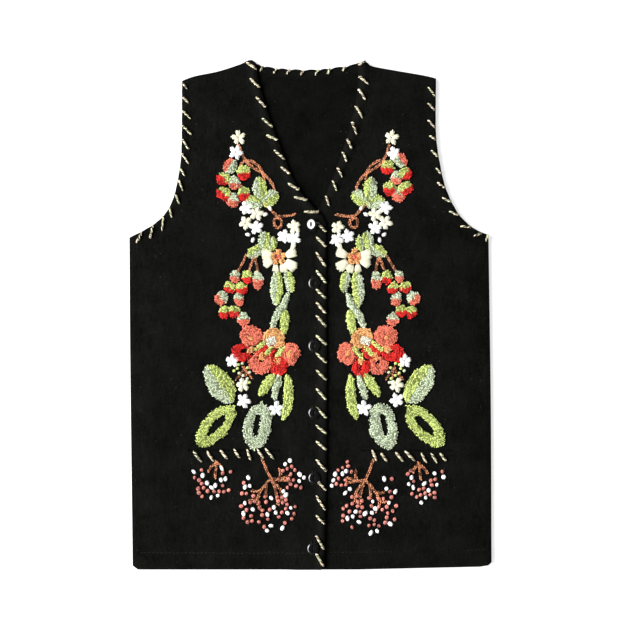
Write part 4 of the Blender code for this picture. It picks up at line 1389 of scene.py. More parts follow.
def rows_over(loop, long, row, turn, rng):
    """Staggered places over a loop's box, in rows that run along the turn."""
    middle = loop.mean(axis=0)
    reach = np.abs(loop - middle).max() * 1.5
    across = np.arange(-reach, reach, row)
    places = []
    for index, offset in enumerate(across):
        along = np.arange(-reach, reach, long) + long * (0.5 * (index % 2) + rng.uniform(-0.15, 0.15))
        places.append(np.column_stack([along, np.full(len(along), offset)]))
    places = np.vstack(places)
    places += rng.normal(0.0, 0.3, places.shape)
    spin = np.array([[math.cos(turn), math.sin(turn)], [-math.sin(turn), math.cos(turn)]])
    return places @ spin + middle


def flow_of(patch, flat, rng):
    """The direction in which each tuft of a patch lies."""
    if patch.flow == "ring":
        off = flat - patch.core
        turn = np.arctan2(off[:, 1], off[:, 0]) + math.pi / 2
    elif patch.flow == "leaf":
        base = math.atan2(patch.core[1], patch.core[0])
        beside = np.sign((flat - patch.split) @ np.array([-patch.core[1], patch.core[0]]))
        turn = base + beside * math.radians(38.0)
    else:
        line = closed(patch.loop)
        off = flat - nearest_on(flat, line)
        turn = np.arctan2(off[:, 1], off[:, 0]) + math.pi / 2
    return turn + rng.normal(0.0, 0.7, len(flat))


def tufts_on(patches, side, rng):
    """Tufts over the patches. One that comes earlier covers those after it."""
    sizes = sized()
    long, row = sizes.tuft_long * METRE, sizes.tuft_row * METRE
    batches = []
    arch = arch_shape(long, sizes.tuft_high * METRE, sizes.tuft_yarn * METRE)
    for index, patch in enumerate(patches):
        lean = math.atan2(patch.core[1], patch.core[0]) if patch.flow == "leaf" else rng.uniform(0.0, math.pi)
        reach = np.linalg.norm(patch.loop - patch.loop.mean(axis=0), axis=1).max()
        fine = FINE_TUFT if reach < SMALL_PATCH else 1.0
        flat = rows_over(patch.loop, TUFT_APART * fine * long, fine * row, lean, rng)
        depth = distance(flat, closed(patch.loop)) * np.where(inside(flat, patch.loop), 1.0, -1.0)
        flat, depth = flat[depth > -TUFT_OVER_EDGE], depth[depth > -TUFT_OVER_EDGE]
        if patch.hole is not None:
            outside = np.where(inside(flat, patch.hole), -1, 1)
            depth = np.minimum(depth, distance(flat, closed(patch.hole)) * outside)
        keep = depth > rng.uniform(*EDGE_SCATTER, len(flat))
        for other in patches[:index]:
            if np.linalg.norm(other.loop.mean(axis=0) - patch.loop.mean(axis=0)) < PATCH_NEAR:
                near = distance(flat, closed(other.loop))
                keep &= ~inside(flat, other.loop) & (near > PATCH_GAP)
        flat, depth = flat[keep], depth[keep]
        count = len(flat)
        across = (flat - patch.split) @ patch.way + patch.ragged * rng.normal(0.0, 0.5, count)
        stray = rng.uniform(size=count) < STRAY_SHARE
        yarn = np.where((across > 0) ^ stray, YARNS.index(patch.second), YARNS.index(patch.yarn))
        lift = -0.15 + 1.1 * ease(depth, 0.2, 3.6) + rng.normal(0.0, 0.25, count)
        scale = rng.uniform((0.85, 0.85, 0.7), (1.2, 1.2, 1.35), (count, 3)) * (fine, fine, 1.0)
        dull = rng.uniform(size=count) < DULL_SHARE.get(patch.yarn, DULL_USUAL)
        tone = np.where(dull, rng.uniform(0.0, 0.22, count), rng.uniform(0.75, 1.15, count))
        batches.append((arch, placed(flat, lift, flow_of(patch, flat, rng), scale, tone, yarn, side)))
    return batches


def pad_mesh(mesh, patch):
    """The padding under a patch's tufts, in an empty mesh, closed below. Gives the points that stand up."""
    verts = [mesh.verts.new((x, y, 0.0)) for x, y in shrunk(patch.loop, PAD_SHY)]
    if patch.hole is None:
        face = mesh.faces.new(verts)
        bmesh.ops.inset_region(
            mesh, faces=[face], thickness=PAD_SLOPE, use_even_offset=True, use_boundary=True
        )
        raised = gridded(mesh, face, patch.loop.min(axis=0), patch.loop.max(axis=0), PAD_STEP)
        rim = [edge for edge in mesh.edges if edge.is_boundary]
        bmesh.ops.edgeloop_fill(mesh, edges=rim)
        return {vert for piece in raised for vert in piece.verts}
    inner = [mesh.verts.new((x, y, 0.0)) for x, y in patch.hole]
    rims = []
    for ring in (verts, inner):
        rims += [mesh.edges.new((ring[index - 1], ring[index])) for index in range(len(ring))]
    made = bmesh.ops.bridge_loops(mesh, edges=rims)
    made = bmesh.ops.subdivide_edges(mesh, edges=list(set(made["edges"]) - set(rims)), cuts=1)
    bmesh.ops.bridge_loops(mesh, edges=rims)
    return set(verts_in(made["geom_inner"]))


def shrunk(loop, amount):
    """The loop drawn in towards its middle."""
    middle = loop.mean(axis=0)
    reach = np.linalg.norm(loop - middle, axis=1)[:, None]
    return middle + (loop - middle) * np.maximum(0.3, 1.0 - amount / reach)


def pads_data(name, patches, side):
    """Padding under all patches of one front, a material for each yarn, in the darkest tone as painted shade
    between the tufts.
    """
    joined = bmesh.new()
    for patch in patches:
        mesh = bmesh.new()
        layer = mesh.verts.layers.float.new("tone")
        raised = pad_mesh(mesh, patch)
        verts = list(mesh.verts)
        for vert, height in zip(verts, top_of(side)(flat_of(verts))):
            vert.co.z = height + (PAD_HIGH if vert in raised else -PAD_SUNK)
            # Painted shade: the padding takes the darkest tone, standing for the shade between the tufts
            vert[layer] = 0.0
        for face in mesh.faces:
            beyond = (np.array(face.calc_center_median().xy) - patch.split) @ patch.way > 0
            face.material_index = YARNS.index(patch.second if beyond else patch.yarn)
        bmesh.ops.recalc_face_normals(mesh, faces=mesh.faces)
        piece = bpy.data.meshes.new(name)
        mesh.to_mesh(piece)
        mesh.free()
        joined.from_mesh(piece)
        bpy.data.meshes.remove(piece)
    return data_of(name, joined)


def stitched(name, batches):
    """A piece of many small stitches in the embroidery's yarns."""
    return finished(name, scattered(name, batches), yarn_materials())


def tufted(name, maker):
    """The tufts and padding of one kind of form, on both fronts."""
    for (side, ending), seed in zip(SIDES, (3, 8)):
        rng = np.random.default_rng(seed)
        patches = maker(side, rng)
        stitched(f"{name}_{ending}", tufts_on(patches, side, rng))
        padding = f"{name}_padding_{ending}"
        finished(padding, pads_data(padding, patches, side), yarn_materials())


# Satin, chain and knot stitches


def fan_of(base, tip, width, grains, side, lift, yarn, rng):
    """Satin threads side by side from a petal's base to its tip, opening like a fan."""
    along = tip - base
    long = np.linalg.norm(along)
    way = along / long
    across = np.array([-way[1], way[0]])
    shares = np.linspace(-1.0, 1.0, grains)
    thick = 1.35 * width / grains
    spread = (width - thick) / 2
    tips = tip + np.outer(shares * spread, across) - np.outer(0.14 * long * shares**2, way)
    bases = base + np.outer(shares * spread * 0.5, across)
    tips += np.outer(rng.uniform(-0.9, 0.9, grains), way)
    middle = (tips + bases) / 2
    off = tips - bases
    scale = np.column_stack([np.linalg.norm(off, axis=1) + 1.2, np.full(grains, thick), np.full(grains, 2.3)])
    scale *= rng.uniform(0.93, 1.07, scale.shape)
    high = lift + 0.35 * (1.0 - shares**2) + rng.normal(0.0, 0.08, grains)
    tone = np.clip(rng.normal(0.8, 0.2, grains), 0.0, 1.1)
    return placed(middle, high, np.arctan2(off[:, 1], off[:, 0]), scale, tone, yarn, side)


def satin_batches(side, rng):
    """Blossoms with five petals, buds, and the ivory petals of the small flower."""
    grain = grain_shape(1.0, 1.0, 1.0)
    batches = []
    shift = LEFT_TOP_SHIFT[0] * LEVEL if side > 0 else np.zeros(2)
    for star in BLOSSOMS:
        middle = on_front(star.out, star.up, side) + shift * (star.up > 150) + rng.normal(0.0, 0.5, 2)
        for turn in range(0, 360, 72):
            way = mirrored_way(star.turn + turn + rng.normal(0.0, 4.0), side)
            reach = star.radius * rng.uniform(0.92, 1.06)
            base, tip = middle + 0.6 * way, middle + reach * way
            petal = fan_of(base, tip, PETAL_WIDE, 3, side, 0.7, YARNS.index(star.yarn), rng)
            batches.append((grain, petal))
    for out, up, turn in BUDS:
        middle = on_front(out, up, side)
        way = mirrored_way(turn, side)
        base, tip = middle - BUD_HALF * way, middle + BUD_HALF * way
        bud = fan_of(base, tip, BUD_WIDE, 3, side, 0.7, YARNS.index("white"), rng)
        batches.append((grain, bud))
    for base_out, base_up, tip_out, tip_up, width in SMALL_FLOWER_PETALS:
        base, tip = on_front(base_out, base_up, side), on_front(tip_out, tip_up, side)
        petal = fan_of(base, tip, width, 8, side, 0.9, YARNS.index("cream"), rng)
        batches.append((grain, petal))
    return batches


def chain_batches(lines, side, rng, wide=1.0):
    """Chain stitch along each line: pairs of short loops that meet like a plait."""
    arch = arch_shape(CHAIN_LONG, CHAIN_HIGH, CHAIN_YARN)
    stem = YARNS.index("stem")
    batches = []
    for line in lines:
        path = smooth_run([on_front(out, up, side) for out, up in line], CHAIN_STEP)
        along = np.gradient(path, axis=0)
        turn = np.arctan2(along[:, 1], along[:, 0])
        across = np.column_stack([-np.sin(turn), np.cos(turn)])
        for hand in (-1.0, 1.0):
            count = len(path)
            flat = path + hand * (0.9 * wide * across + 0.7 * np.column_stack([np.cos(turn), np.sin(turn)]))
            flat += rng.normal(0.0, 0.2, path.shape)
            lean = turn - hand * 0.42 + rng.normal(0.0, 0.2, count)
            tone = np.where(rng.uniform(size=count) < 0.42, 0.05, 1.0) + rng.uniform(-0.1, 0.1, count)
            batches.append((arch, placed(flat, -0.1, lean, (wide, wide, 1.0), tone, stem, side)))
    return batches


def moved_lines(lines, shift):
    """The lines of stems, all moved by the shift."""
    return [[(out + shift[0], up + shift[1]) for out, up in line] for line in lines]


def knots_in(clusters, side, shift, rng):
    """Where the knots of a spray go and whether each is white: scattered in clusters, none on another."""
    kept, pale = [], []
    for cluster in clusters:
        middle = on_front(cluster.out + shift[0], cluster.up + shift[1], side)
        wanted = [False] * cluster.coral + [True] * cluster.white
        for white in rng.permutation(wanted):
            for trial in range(KNOT_TRIES):
                turn = rng.uniform(0.0, 2 * math.pi)
                reach = (1.0 + trial / 100) * cluster.reach * math.sqrt(rng.uniform())
                place = middle + reach * np.array([math.cos(turn), math.sin(turn)])
                if all(np.linalg.norm(place - other) > KNOT_CLEAR for other in kept):
                    kept.append(place)
                    pale.append(bool(white))
                    break
    return np.array(kept), np.array(pale)


def knot_batches(side):
    """White and coral French knots of both sprays, and small green ones on the sprig."""
    knot = knot_shape(sized().knot_radius * METRE)
    shift = LEFT_SPRAY_SHIFT if side > 0 else (0.0, 0.0)
    rng = np.random.default_rng(5)
    batches = []
    for clusters in (SMALL_KNOTS, LARGE_KNOTS):
        flat, pale = knots_in(clusters, side, shift, rng)
        yarn = np.where(pale, YARNS.index("white"), YARNS.index("rose"))
        size = rng.uniform(0.85, 1.2, (len(flat), 3)) * np.where(pale, 1.08, 1.02)[:, None]
        size[:, 0] *= np.where(pale, rng.uniform(1.0, 1.45, len(flat)), rng.uniform(1.0, 1.15, len(flat)))
        tone = np.where(pale, rng.uniform(0.8, 1.2, len(flat)), rng.uniform(0.2, 0.85, len(flat)))
        turn = np.where(pale, math.pi / 2, 0.0) + rng.normal(0.0, 0.6, len(flat))
        batches.append((knot, placed(flat, 0.9, turn, size, tone, yarn, side)))
    flat = np.array([on_front(out, up, side) for out, up in SPRIG_DOTS])
    yarn = np.where(rng.uniform(size=len(flat)) < 0.5, YARNS.index("yellow_green"), YARNS.index("sage"))
    tone = rng.uniform(0.3, 0.6, len(flat))
    batches.append((knot, placed(flat, 0.5, 0.0, (0.9, 0.8, 0.9), tone, yarn, side)))
    return batches


# Edge yarn


def strand_points(path, ply, radius, turns):
    """One ply of a twisted yarn that follows the path."""
    along = np.gradient(path, axis=0)
    along /= np.linalg.norm(along, axis=1)[:, None]
    level = np.cross(along, np.array([0.0, 0.0, 1.0]))
    weak = np.linalg.norm(level, axis=1) < 0.2
    level[weak] = level[~weak][0] if (~weak).any() else np.array([1.0, 0.0, 0.0])
    level /= np.linalg.norm(level, axis=1)[:, None]
    upright = np.cross(level, along)
    travelled = np.concatenate([[0.0], np.cumsum(np.linalg.norm(np.diff(path, axis=0), axis=1))])
    angle = 2 * math.pi * (travelled / turns + ply / EDGE_PLIES)
    steps = np.arange(len(path))
    taper = np.minimum(1.0, np.minimum(steps, steps[::-1]) / 4.0 + 0.12)
    ring = radius * taper[:, None]
    return path + ring * (np.cos(angle)[:, None] * level + np.sin(angle)[:, None] * upright)


def over_edge(inner, edge, outward, top, tuck, yarn):
    """The path of a whip stitch: out of the cloth, across the roll, round its edge and under it."""
    last = edge - outward * 1.5
    way = last - inner
    flat = [inner + share * way for share in (0.0, 0.12, 0.45, 0.8, 1.0)]
    heights = top(np.array(flat)) + np.array([-0.9, 0.6, 0.9, 0.9, 0.7]) * yarn
    rows = [np.array([*place, height]) for place, height in zip(flat, heights)]
    beside = edge - outward * 0.25
    rows.append(np.array([*beside, heights[-1] - 0.9 * yarn]))
    rows.append(np.array([*beside, (heights[-1] + tuck) / 2 - 0.3]))
    rows.append(np.array([*(edge - outward * 1.0), tuck]))
    return smooth_run(rows, 1.4, 8)


def edge_ends(stitches, line):
    """Inner ends, places on the edge and outward directions of stitches along a line."""
    inner = np.array([from_photo(x, y) for x, y, _, _ in stitches])
    outer = np.array([from_photo(x, y) for _, _, x, y in stitches])
    edge = nearest_on(outer, line)
    outward = edge - inner
    outward = outward / np.linalg.norm(outward, axis=1)[:, None]
    square = nearest_on(inner, line) - inner
    long = np.linalg.norm(square, axis=1)[:, None]
    outward = np.where(long > 2.0, square / np.maximum(long, 1e-6), outward)
    return inner, edge, outward


def placket_ends():
    """The button band's stitches, all between the same two lines."""
    return tuple((PLACKET_INNER, low, PLACKET_OUTER, high) for low, high in PLACKET_STITCHES)


def whip_paths():
    """The paths of all edge stitches, each with its share of the yarn's full width.

    A row has its stitches, the edge, the cloth's top, the height of the tucked end and the width.
    """
    yarn = 3 * sized().edge_yarn * METRE
    right_neck = np.vstack([run("nub_right"), run("neck_right"), run("corner_right")])
    left_neck = np.vstack([run("nub_left"), run("neck_left")])
    rows = (
        (NECK_RIGHT_STITCHES, right_neck, right_top, 3.6, 1.0),
        (NECK_LEFT_STITCHES, left_neck, left_top, 3.6, 0.95),
        (placket_ends(), run("placket_right"), right_top, 7.4, 1.08),
        (ARMHOLE_RIGHT_STITCHES, run("armhole_right"), right_top, 0.9, 0.85),
        (ARMHOLE_LEFT_STITCHES, run("armhole_left"), left_top, 0.9, 0.85),
        (BACK_NECK_STITCHES, run("back_neck"), back_top, 0.9, 0.85),
    )
    paths = []
    for stitches, line, top, tuck, wide in rows:
        for inner, edge, outward in zip(*edge_ends(stitches, line)):
            paths.append((over_edge(inner, edge, outward, top, tuck, yarn), wide))
    for stitches, top in ((LIP_RIGHT_STITCHES, right_top), (LIP_LEFT_STITCHES, left_top)):
        for x0, y0, x1, y1 in stitches:
            start, end = from_photo(x0, y0), from_photo(x1, y1)
            flat = np.array([start + share * (end - start) for share in (0.0, 0.12, 0.5, 0.88, 1.0)])
            heights = top(flat) + np.array([-0.6, 0.7, 0.95, 0.7, -0.9]) * yarn
            paths.append((smooth_run(np.column_stack([flat, heights]), 1.5, 8), LIP_YARN_WIDE))
    return paths


def tube_data(name, paths, thick, sides_level=1, rough=0.0, widths=None):
    """Yarns that follow the paths, each by its width, thicker and thinner by rough."""
    rng = np.random.default_rng(71)
    curve = bpy.data.curves.new(name, "CURVE")
    curve.dimensions = "3D"
    curve.bevel_depth = thick * MM
    curve.bevel_resolution = sides_level
    curve.use_fill_caps = True
    for number, path in enumerate(paths):
        spline = curve.splines.new("POLY")
        spline.points.add(len(path) - 1)
        spline.points.foreach_set("co", np.column_stack([path * MM, np.ones(len(path))]).ravel())
        steps = np.arange(len(path))
        slim = np.clip(0.5 + 0.16 * np.minimum(steps, steps[::-1]), 0.5, 1.1)
        if widths:
            slim *= widths[number]
        spline.points.foreach_set("radius", slim * rng.uniform(1.0 - rough, 1.0 + rough, len(path)))
    holder = bpy.data.objects.new(name, curve)
    bpy.context.scene.collection.objects.link(holder)
    graph = bpy.context.evaluated_depsgraph_get()
    data = bpy.data.meshes.new_from_object(holder.evaluated_get(graph))
    data.name = name
    bpy.data.objects.remove(holder, do_unlink=True)
    bpy.data.curves.remove(curve)
    mesh = bmesh.new()
    mesh.from_mesh(data)
    bmesh.ops.remove_doubles(mesh, verts=mesh.verts, dist=1e-6)
    bmesh.ops.recalc_face_normals(mesh, faces=mesh.faces)
    mesh.to_mesh(data)
    mesh.free()
    data.shade_smooth()
    return data


def tone_by_part(data, rng, tones):
    """A tone for each separate part of the mesh, near one of the given tones in turn."""
    mesh = bmesh.new()
    mesh.from_mesh(data)
    layer = mesh.verts.layers.float.new("tone")
    seen = set()
    parts = 0
    for vert in mesh.verts:
        if vert in seen:
            continue
        tone = tones[parts % len(tones)] + rng.uniform(-0.15, 0.15)
        parts += 1
        waiting = [vert]
        seen.add(vert)
        while waiting:
            here = waiting.pop()
            here[layer] = tone + EDGE_MOTTLE * random_field.noise(here.co * 900.0)
            for edge in here.link_edges:
                other = edge.other_vert(here)
                if other not in seen:
                    seen.add(other)
                    waiting.append(other)
    mesh.to_mesh(data)
    mesh.free()


# Operators


class VEST_OT_back(bpy.types.Operator):
    """Make the back"""

    bl_idname = "vest.back"
    bl_label = "Back"

    def execute(self, context):
        loop = outline(
            "hem_back",
            "side_left",
            "armhole_left",
            "shoulder_left",
            "nub_left",
            "back_neck",
            "nub_right",
            "shoulder_right",
            "armhole_right",
            "side_right",
        )
        neck = edge_ends(BACK_NECK_STITCHES, run("back_neck"))[1]
        loop = drawn_in(loop, neck, 2.2, 4.0)
        colours, sizes = coloured(), sized()
        step = 1.25 * sizes.mesh_step * METRE
        data = cloth_data("vest_back", loop, [], back_top, back_under, step, [run("back_neck")])
        cloth = knit_material("brushed_knit_inside", colours.knit_inside, sizes.wale, sizes.course, 0.0006)
        thing = finished("vest_back", data, [cloth], ["back"])
        return {"FINISHED"}


def button_windows():
    """Opposite corners of the buttonholes."""
    wide, long = HOLE_WIDE / 2, HOLE_LONG / 2
    return [((item.x - wide, item.y - long), (item.x + wide, item.y + long)) for item in BUTTONS]


def slit_window(side):
    """Opposite corners of a pocket's slit."""
    low, high = slit_ends(side)
    return (low, POCKET_UP - SLIT_WIDE / 2), (high, POCKET_UP + SLIT_WIDE / 2)


class VEST_OT_front_right(bpy.types.Operator):
    """Make the wearer's right front, which laps over the other"""

    bl_idname = "vest.front_right"
    bl_label = "Right front"

    def execute(self, context):
        names = ("hem_right", "side_right", "armhole_right", "shoulder_right", "nub_right", "neck_right")
        loop = outline(*names, "corner_right", "placket_right")
        rolled = np.vstack([run("nub_right"), run("neck_right"), run("corner_right")])
        loop = drawn_in(loop, edge_ends(NECK_RIGHT_STITCHES, rolled)[1])
        loop = drawn_in(loop, edge_ends(placket_ends(), run("placket_right"))[1])
        loop = drawn_in(loop, edge_ends(ARMHOLE_RIGHT_STITCHES, run("armhole_right"))[1])
        windows = [slit_window(-1)] + button_windows()
        edges = [run(name) for name in ("neck_right", "corner_right", "placket_right")]
        step = sized().mesh_step * METRE
        data = cloth_data("vest_front_right", loop, windows, right_top, right_rest, step, edges)
        thing = finished("vest_front_right", data, [front_material()], ["front_right"])
        return {"FINISHED"}


class VEST_OT_front_left(bpy.types.Operator):
    """Make the wearer's left front, which lies under the other's edge"""

    bl_idname = "vest.front_left"
    bl_label = "Left front"

    def execute(self, context):
        names = ("hem_left", "side_left", "armhole_left", "shoulder_left", "nub_left", "neck_left")
        loop = outline(*names, "underlap")
        loop = drawn_in(loop, edge_ends(NECK_LEFT_STITCHES, run("neck_left"))[1])
        loop = drawn_in(loop, edge_ends(ARMHOLE_LEFT_STITCHES, run("armhole_left"))[1])
        step, edges = sized().mesh_step * METRE, [run("neck_left")]
        data = cloth_data("vest_front_left", loop, [slit_window(1)], left_top, left_rest, step, edges)
        thing = finished("vest_front_left", data, [front_material()], ["front_left"])
        return {"FINISHED"}


class VEST_OT_pockets(bpy.types.Operator):
    """Make the two pocket bags"""

    bl_idname = "vest.pockets"
    bl_label = "Pocket bags"

    def execute(self, context):
        for side, ending in SIDES:
            name = f"pocket_{ending}"
            low, high = slit_ends(side)
            low, high = low - BAG_MARGIN, high + BAG_MARGIN
            top = POCKET_UP + BAG_ABOVE
            mesh = bmesh.new()
            corners = ((low, top - BAG_DEEP), (high, top - BAG_DEEP), (high, top), (low, top))
            face = mesh.faces.new([mesh.verts.new((x, y, 0.0)) for x, y in corners])
            foot = [vert for vert in mesh.verts if vert.co.y < top - 1.0]
            bmesh.ops.bevel(
                mesh, geom=foot, offset=BAG_CORNER, affect="VERTICES", segments=5, profile=0.5, material=-1
            )
            faces = cut_lines(mesh, list(mesh.faces), 0, np.arange(low + 8.0, high - 4.0, 8.0))
            cut_lines(mesh, faces, 1, np.arange(top - BAG_DEEP + 8.0, top - 4.0, 8.0))
            lower = list(mesh.verts)
            made = bmesh.ops.extrude_face_region(mesh, geom=list(mesh.faces), use_keep_orig=True)
            upper = verts_in(made["geom"])
            for verts, drop in ((lower, BAG_GAP + BAG_CLOTH), (upper, BAG_GAP)):
                for vert, height in zip(verts, front_rest(flat_of(verts), side)):
                    vert.co.z = height - drop
            bmesh.ops.recalc_face_normals(mesh, faces=mesh.faces)
            data = data_of(f"vest_{name}", mesh)
            thing = finished(f"vest_{name}", data, [pocketing_material()], [name])
        return {"FINISHED"}


class VEST_OT_leaves(bpy.types.Operator):
    """Tuft the leaves"""

    bl_idname = "vest.leaves"
    bl_label = "Leaves"

    def execute(self, context):
        tufted("leaves", leaf_patches)
        return {"FINISHED"}


class VEST_OT_berries(bpy.types.Operator):
    """Tuft the berries"""

    bl_idname = "vest.berries"
    bl_label = "Berries"

    def execute(self, context):
        tufted("berries", berry_patches)
        return {"FINISHED"}


class VEST_OT_flowers(bpy.types.Operator):
    """Tuft the large flowers and the middles of the small ones"""

    bl_idname = "vest.flowers"
    bl_label = "Flowers"

    def execute(self, context):
        tufted("flowers", flower_patches)
        return {"FINISHED"}


class VEST_OT_blossoms(bpy.types.Operator):
    """Stitch the white blossoms and ivory petals in satin stitch"""

    bl_idname = "vest.blossoms"
    bl_label = "Blossoms"

    def execute(self, context):
        for side, ending in SIDES:
            stitched(f"blossoms_{ending}", satin_batches(side, np.random.default_rng(31 + side)))
        return {"FINISHED"}


class VEST_OT_stems(bpy.types.Operator):
    """Stitch the stems in chain stitch"""

    bl_idname = "vest.stems"
    bl_label = "Stems"

    def execute(self, context):
        for side, ending in SIDES:
            rng = np.random.default_rng(41 + side)
            shift = LEFT_SPRAY_SHIFT if side > 0 else (0.0, 0.0)
            batches = chain_batches(STEMS, side, rng)
            batches += chain_batches(moved_lines(LARGE_SPRAY + SMALL_SPRAY, shift), side, rng)
            batches += chain_batches(SPRIG_STEMS, side, rng, 0.85)
            stitched(f"stems_{ending}", batches)
        return {"FINISHED"}


class VEST_OT_knots(bpy.types.Operator):
    """Stitch the French knots of the sprays"""

    bl_idname = "vest.knots"
    bl_label = "Knots"

    def execute(self, context):
        for side, ending in SIDES:
            stitched(f"knots_{ending}", knot_batches(side))
        return {"FINISHED"}


class VEST_OT_edge_stitches(bpy.types.Operator):
    """Whip the edges and pocket lips with three-ply yarn"""

    bl_idname = "vest.edge_stitches"
    bl_label = "Edge stitches"

    def execute(self, context):
        rng = np.random.default_rng(51)
        thick = sized().edge_yarn * METRE
        strands = []
        widths = []
        for path, wide in whip_paths():
            turns = rng.uniform(5.5, 8.5)
            for ply in range(EDGE_PLIES):
                strand = strand_points(path, ply, 2.0 * wide * thick, turns)
                strands.append(strand + rng.normal(0.0, EDGE_FUZZ, strand.shape))
                widths.append(wide)
        data = tube_data("edge_yarn", strands, thick, 1, 0.4, widths)
        # Painted shade: the ply with tone nought goes almost black, as the shade between the plies
        tone_by_part(data, rng, EDGE_TONES)
        finished("edge_yarn", data, [yarn_material("wool_edge", coloured().edge, 0.2, 0.03, 0.3, EDGE_TINTS)])
        return {"FINISHED"}


class VEST_OT_buttons(bpy.types.Operator):
    """Turn the six buttons"""

    bl_idname = "vest.buttons"
    bl_label = "Buttons"

    def execute(self, context):
        for index, button in enumerate(BUTTONS):
            make_button(index, button)
        return {"FINISHED"}


def seat_of(button):
    """The height that a button's underside rests at, and of the cloth that its thread ends on."""
    turns = np.linspace(0.0, 2 * math.pi, 24, endpoint=False)
    around = np.column_stack([np.cos(turns), np.sin(turns)])
    middle = np.array([button.x, button.y])
    disc = np.vstack([around * BUTTON_RADIUS * share for share in (0.3, 0.65, 1.0)]) + middle
    seat = right_top(disc).max() + SEAM_GAP + BUTTON_RADIUS * 0.95 * abs(math.sin(math.radians(button.tilt)))
    return seat, left_top(around * 0.8 + middle).max() + 0.1


def make_button(index, button):
    """A turned disc: rounded rim, dished face and a lens-shaped eye with its thread."""
    mesh = bmesh.new()
    foot = BUTTON_FOOT * BUTTON_RADIUS
    made = bmesh.ops.create_circle(mesh, cap_ends=True, segments=BUTTON_SIDES, radius=foot)
    bmesh.ops.reverse_faces(mesh, faces=list(mesh.faces))
    loop = list(made["verts"])
    last_across, last_along, height = BUTTON_FOOT, BUTTON_FOOT, 0.0
    for across, along, share in [(share, share, high) for share, high in BUTTON_RIM] + list(BUTTON_EYE):
        made = bmesh.ops.extrude_edge_only(mesh, edges=ring_edges(loop))
        loop = verts_in(made["geom"])
        bmesh.ops.scale(mesh, vec=(across / last_across, along / last_along, 1.0), verts=loop)
        bmesh.ops.translate(mesh, vec=(0.0, 0.0, share * BUTTON_THICK - height), verts=loop)
        last_across, last_along, height = across, along, share * BUTTON_THICK
    bmesh.ops.contextual_create(mesh, geom=ring_edges(loop))
    seat, under = seat_of(button)
    tilt = Matrix.Rotation(math.radians(button.tilt), 4, "Y")
    turned = Matrix.Translation((button.x, button.y, seat)) @ tilt
    bmesh.ops.transform(mesh, matrix=turned, verts=mesh.verts)
    bmesh.ops.recalc_face_normals(mesh, faces=mesh.faces)
    data = data_of(f"resin_button_{index + 1}", mesh)
    data.set_sharp_from_angle(angle=math.radians(55))
    finished(f"resin_button_{index + 1}", data, [resin_material()], [f"button_{index + 1}"])
    threads = []
    for turn in (0.0, 2.1, 4.2):
        foot = np.array([button.x + 0.45 * math.cos(turn), button.y + 0.9 * math.sin(turn), under])
        head = turned @ Vector((0.45 * math.cos(turn + 0.8), 0.9 * math.sin(turn + 0.8), 0.3))
        threads.append(np.array([foot, (foot + np.array(head)) / 2, np.array(head)]))
    for across in (-THREAD_APART, THREAD_APART):
        threads.append(np.array([turned @ Vector((across, along, high)) for along, high in THREAD_BEND]))
    data = tube_data(f"button_thread_{index + 1}", threads, THREAD_THICK, 0)
    finished(f"button_thread_{index + 1}", data, [thread_material()])


def ring_edges(loop):
    """The edges that join the points of a loop to each other."""
    among = set(loop)
    return list({edge for vert in loop for edge in vert.link_edges if edge.other_vert(vert) in among})


def thread_material():
    return yarn_material("black_thread", coloured().thread, 0.0, 0.6)


class VEST_OT_hem_stitches(bpy.types.Operator):
    """Sew the hem and the buttonholes with black thread"""

    bl_idname = "vest.hem_stitches"
    bl_label = "Hem stitches"

    def execute(self, context):
        grain = grain_shape(1.0, 1.0, 1.0, 5, 4)
        batches = []
        for side, low, high in HEM_SEAMS:
            rng = np.random.default_rng(61 + side)
            x = np.arange(low, high, HEM_STITCH)
            hem = run("hem_left" if side > 0 else "hem_right")
            above = np.column_stack([x, np.full(len(x), -320.0)])
            flat = np.column_stack([x, nearest_on(above, hem)[:, 1] + HEM_WIDE])
            flat += rng.normal(0.0, 0.2, flat.shape)
            scale = np.column_stack([rng.uniform(2.8, 3.8, len(x)), np.tile((0.9, 0.7), (len(x), 1))])
            batches.append((grain, placed(flat, 0.05, rng.normal(0.0, 0.06, len(x)), scale, 0.5, 0, side)))
        for button in BUTTONS:
            rows = np.arange(-HOLE_LONG / 2, HOLE_LONG / 2 + 0.1, 1.1)
            for hand in (-1.0, 1.0):
                beside = button.x + hand * (HOLE_WIDE / 2 + 0.7)
                flat = np.column_stack([np.full(len(rows), beside), button.y + rows])
                batches.append((grain, placed(flat, 0.0, 0.0, (2.4, 1.0, 1.0), 0.5, 0, -1)))
        finished("hem_stitches", scattered("hem_stitches", batches), [thread_material()])
        return {"FINISHED"}


class VEST_OT_stage(bpy.types.Operator):
    """Lay the floor and set the lights and the camera"""

    bl_idname = "vest.stage"
    bl_label = "Stage"

    def execute(self, context):
        mesh = bmesh.new()
        bmesh.ops.create_grid(mesh, x_segments=1, y_segments=1, size=FLOOR_SIZE)
        bmesh.ops.translate(mesh, vec=(0.0, 0.0, -FLOOR_DROP), verts=mesh.verts)
        data = bpy.data.meshes.new("floor")
        mesh.to_mesh(data)
        mesh.free()
        floor = bpy.data.objects.new("floor", data)
        context.scene.collection.objects.link(floor)
        data.materials.append(floor_material())
        set_lights(context.scene)
        set_camera(context.scene)
        return {"FINISHED"}


def floor_material():
    """White paper with a glow of its own, hardly mottled."""
    material, tree, shader, place = new_material("floor")
    colour = coloured().floor
    grain = noise(tree, place, 30.0, 2.0)
    body = mixed(tree, grain.outputs["Fac"], rgba(colour, 0.995), rgba(colour, 1.005))
    put(tree, shader.inputs["Base Color"], body)
    shader.inputs["Roughness"].default_value = 0.9
    shader.inputs["Specular IOR Level"].default_value = 0.1
    shader.inputs["Emission Color"].default_value = (1.0, 1.0, 1.0, 1.0)
    shader.inputs["Emission Strength"].default_value = FLOOR_GLOW
    return material


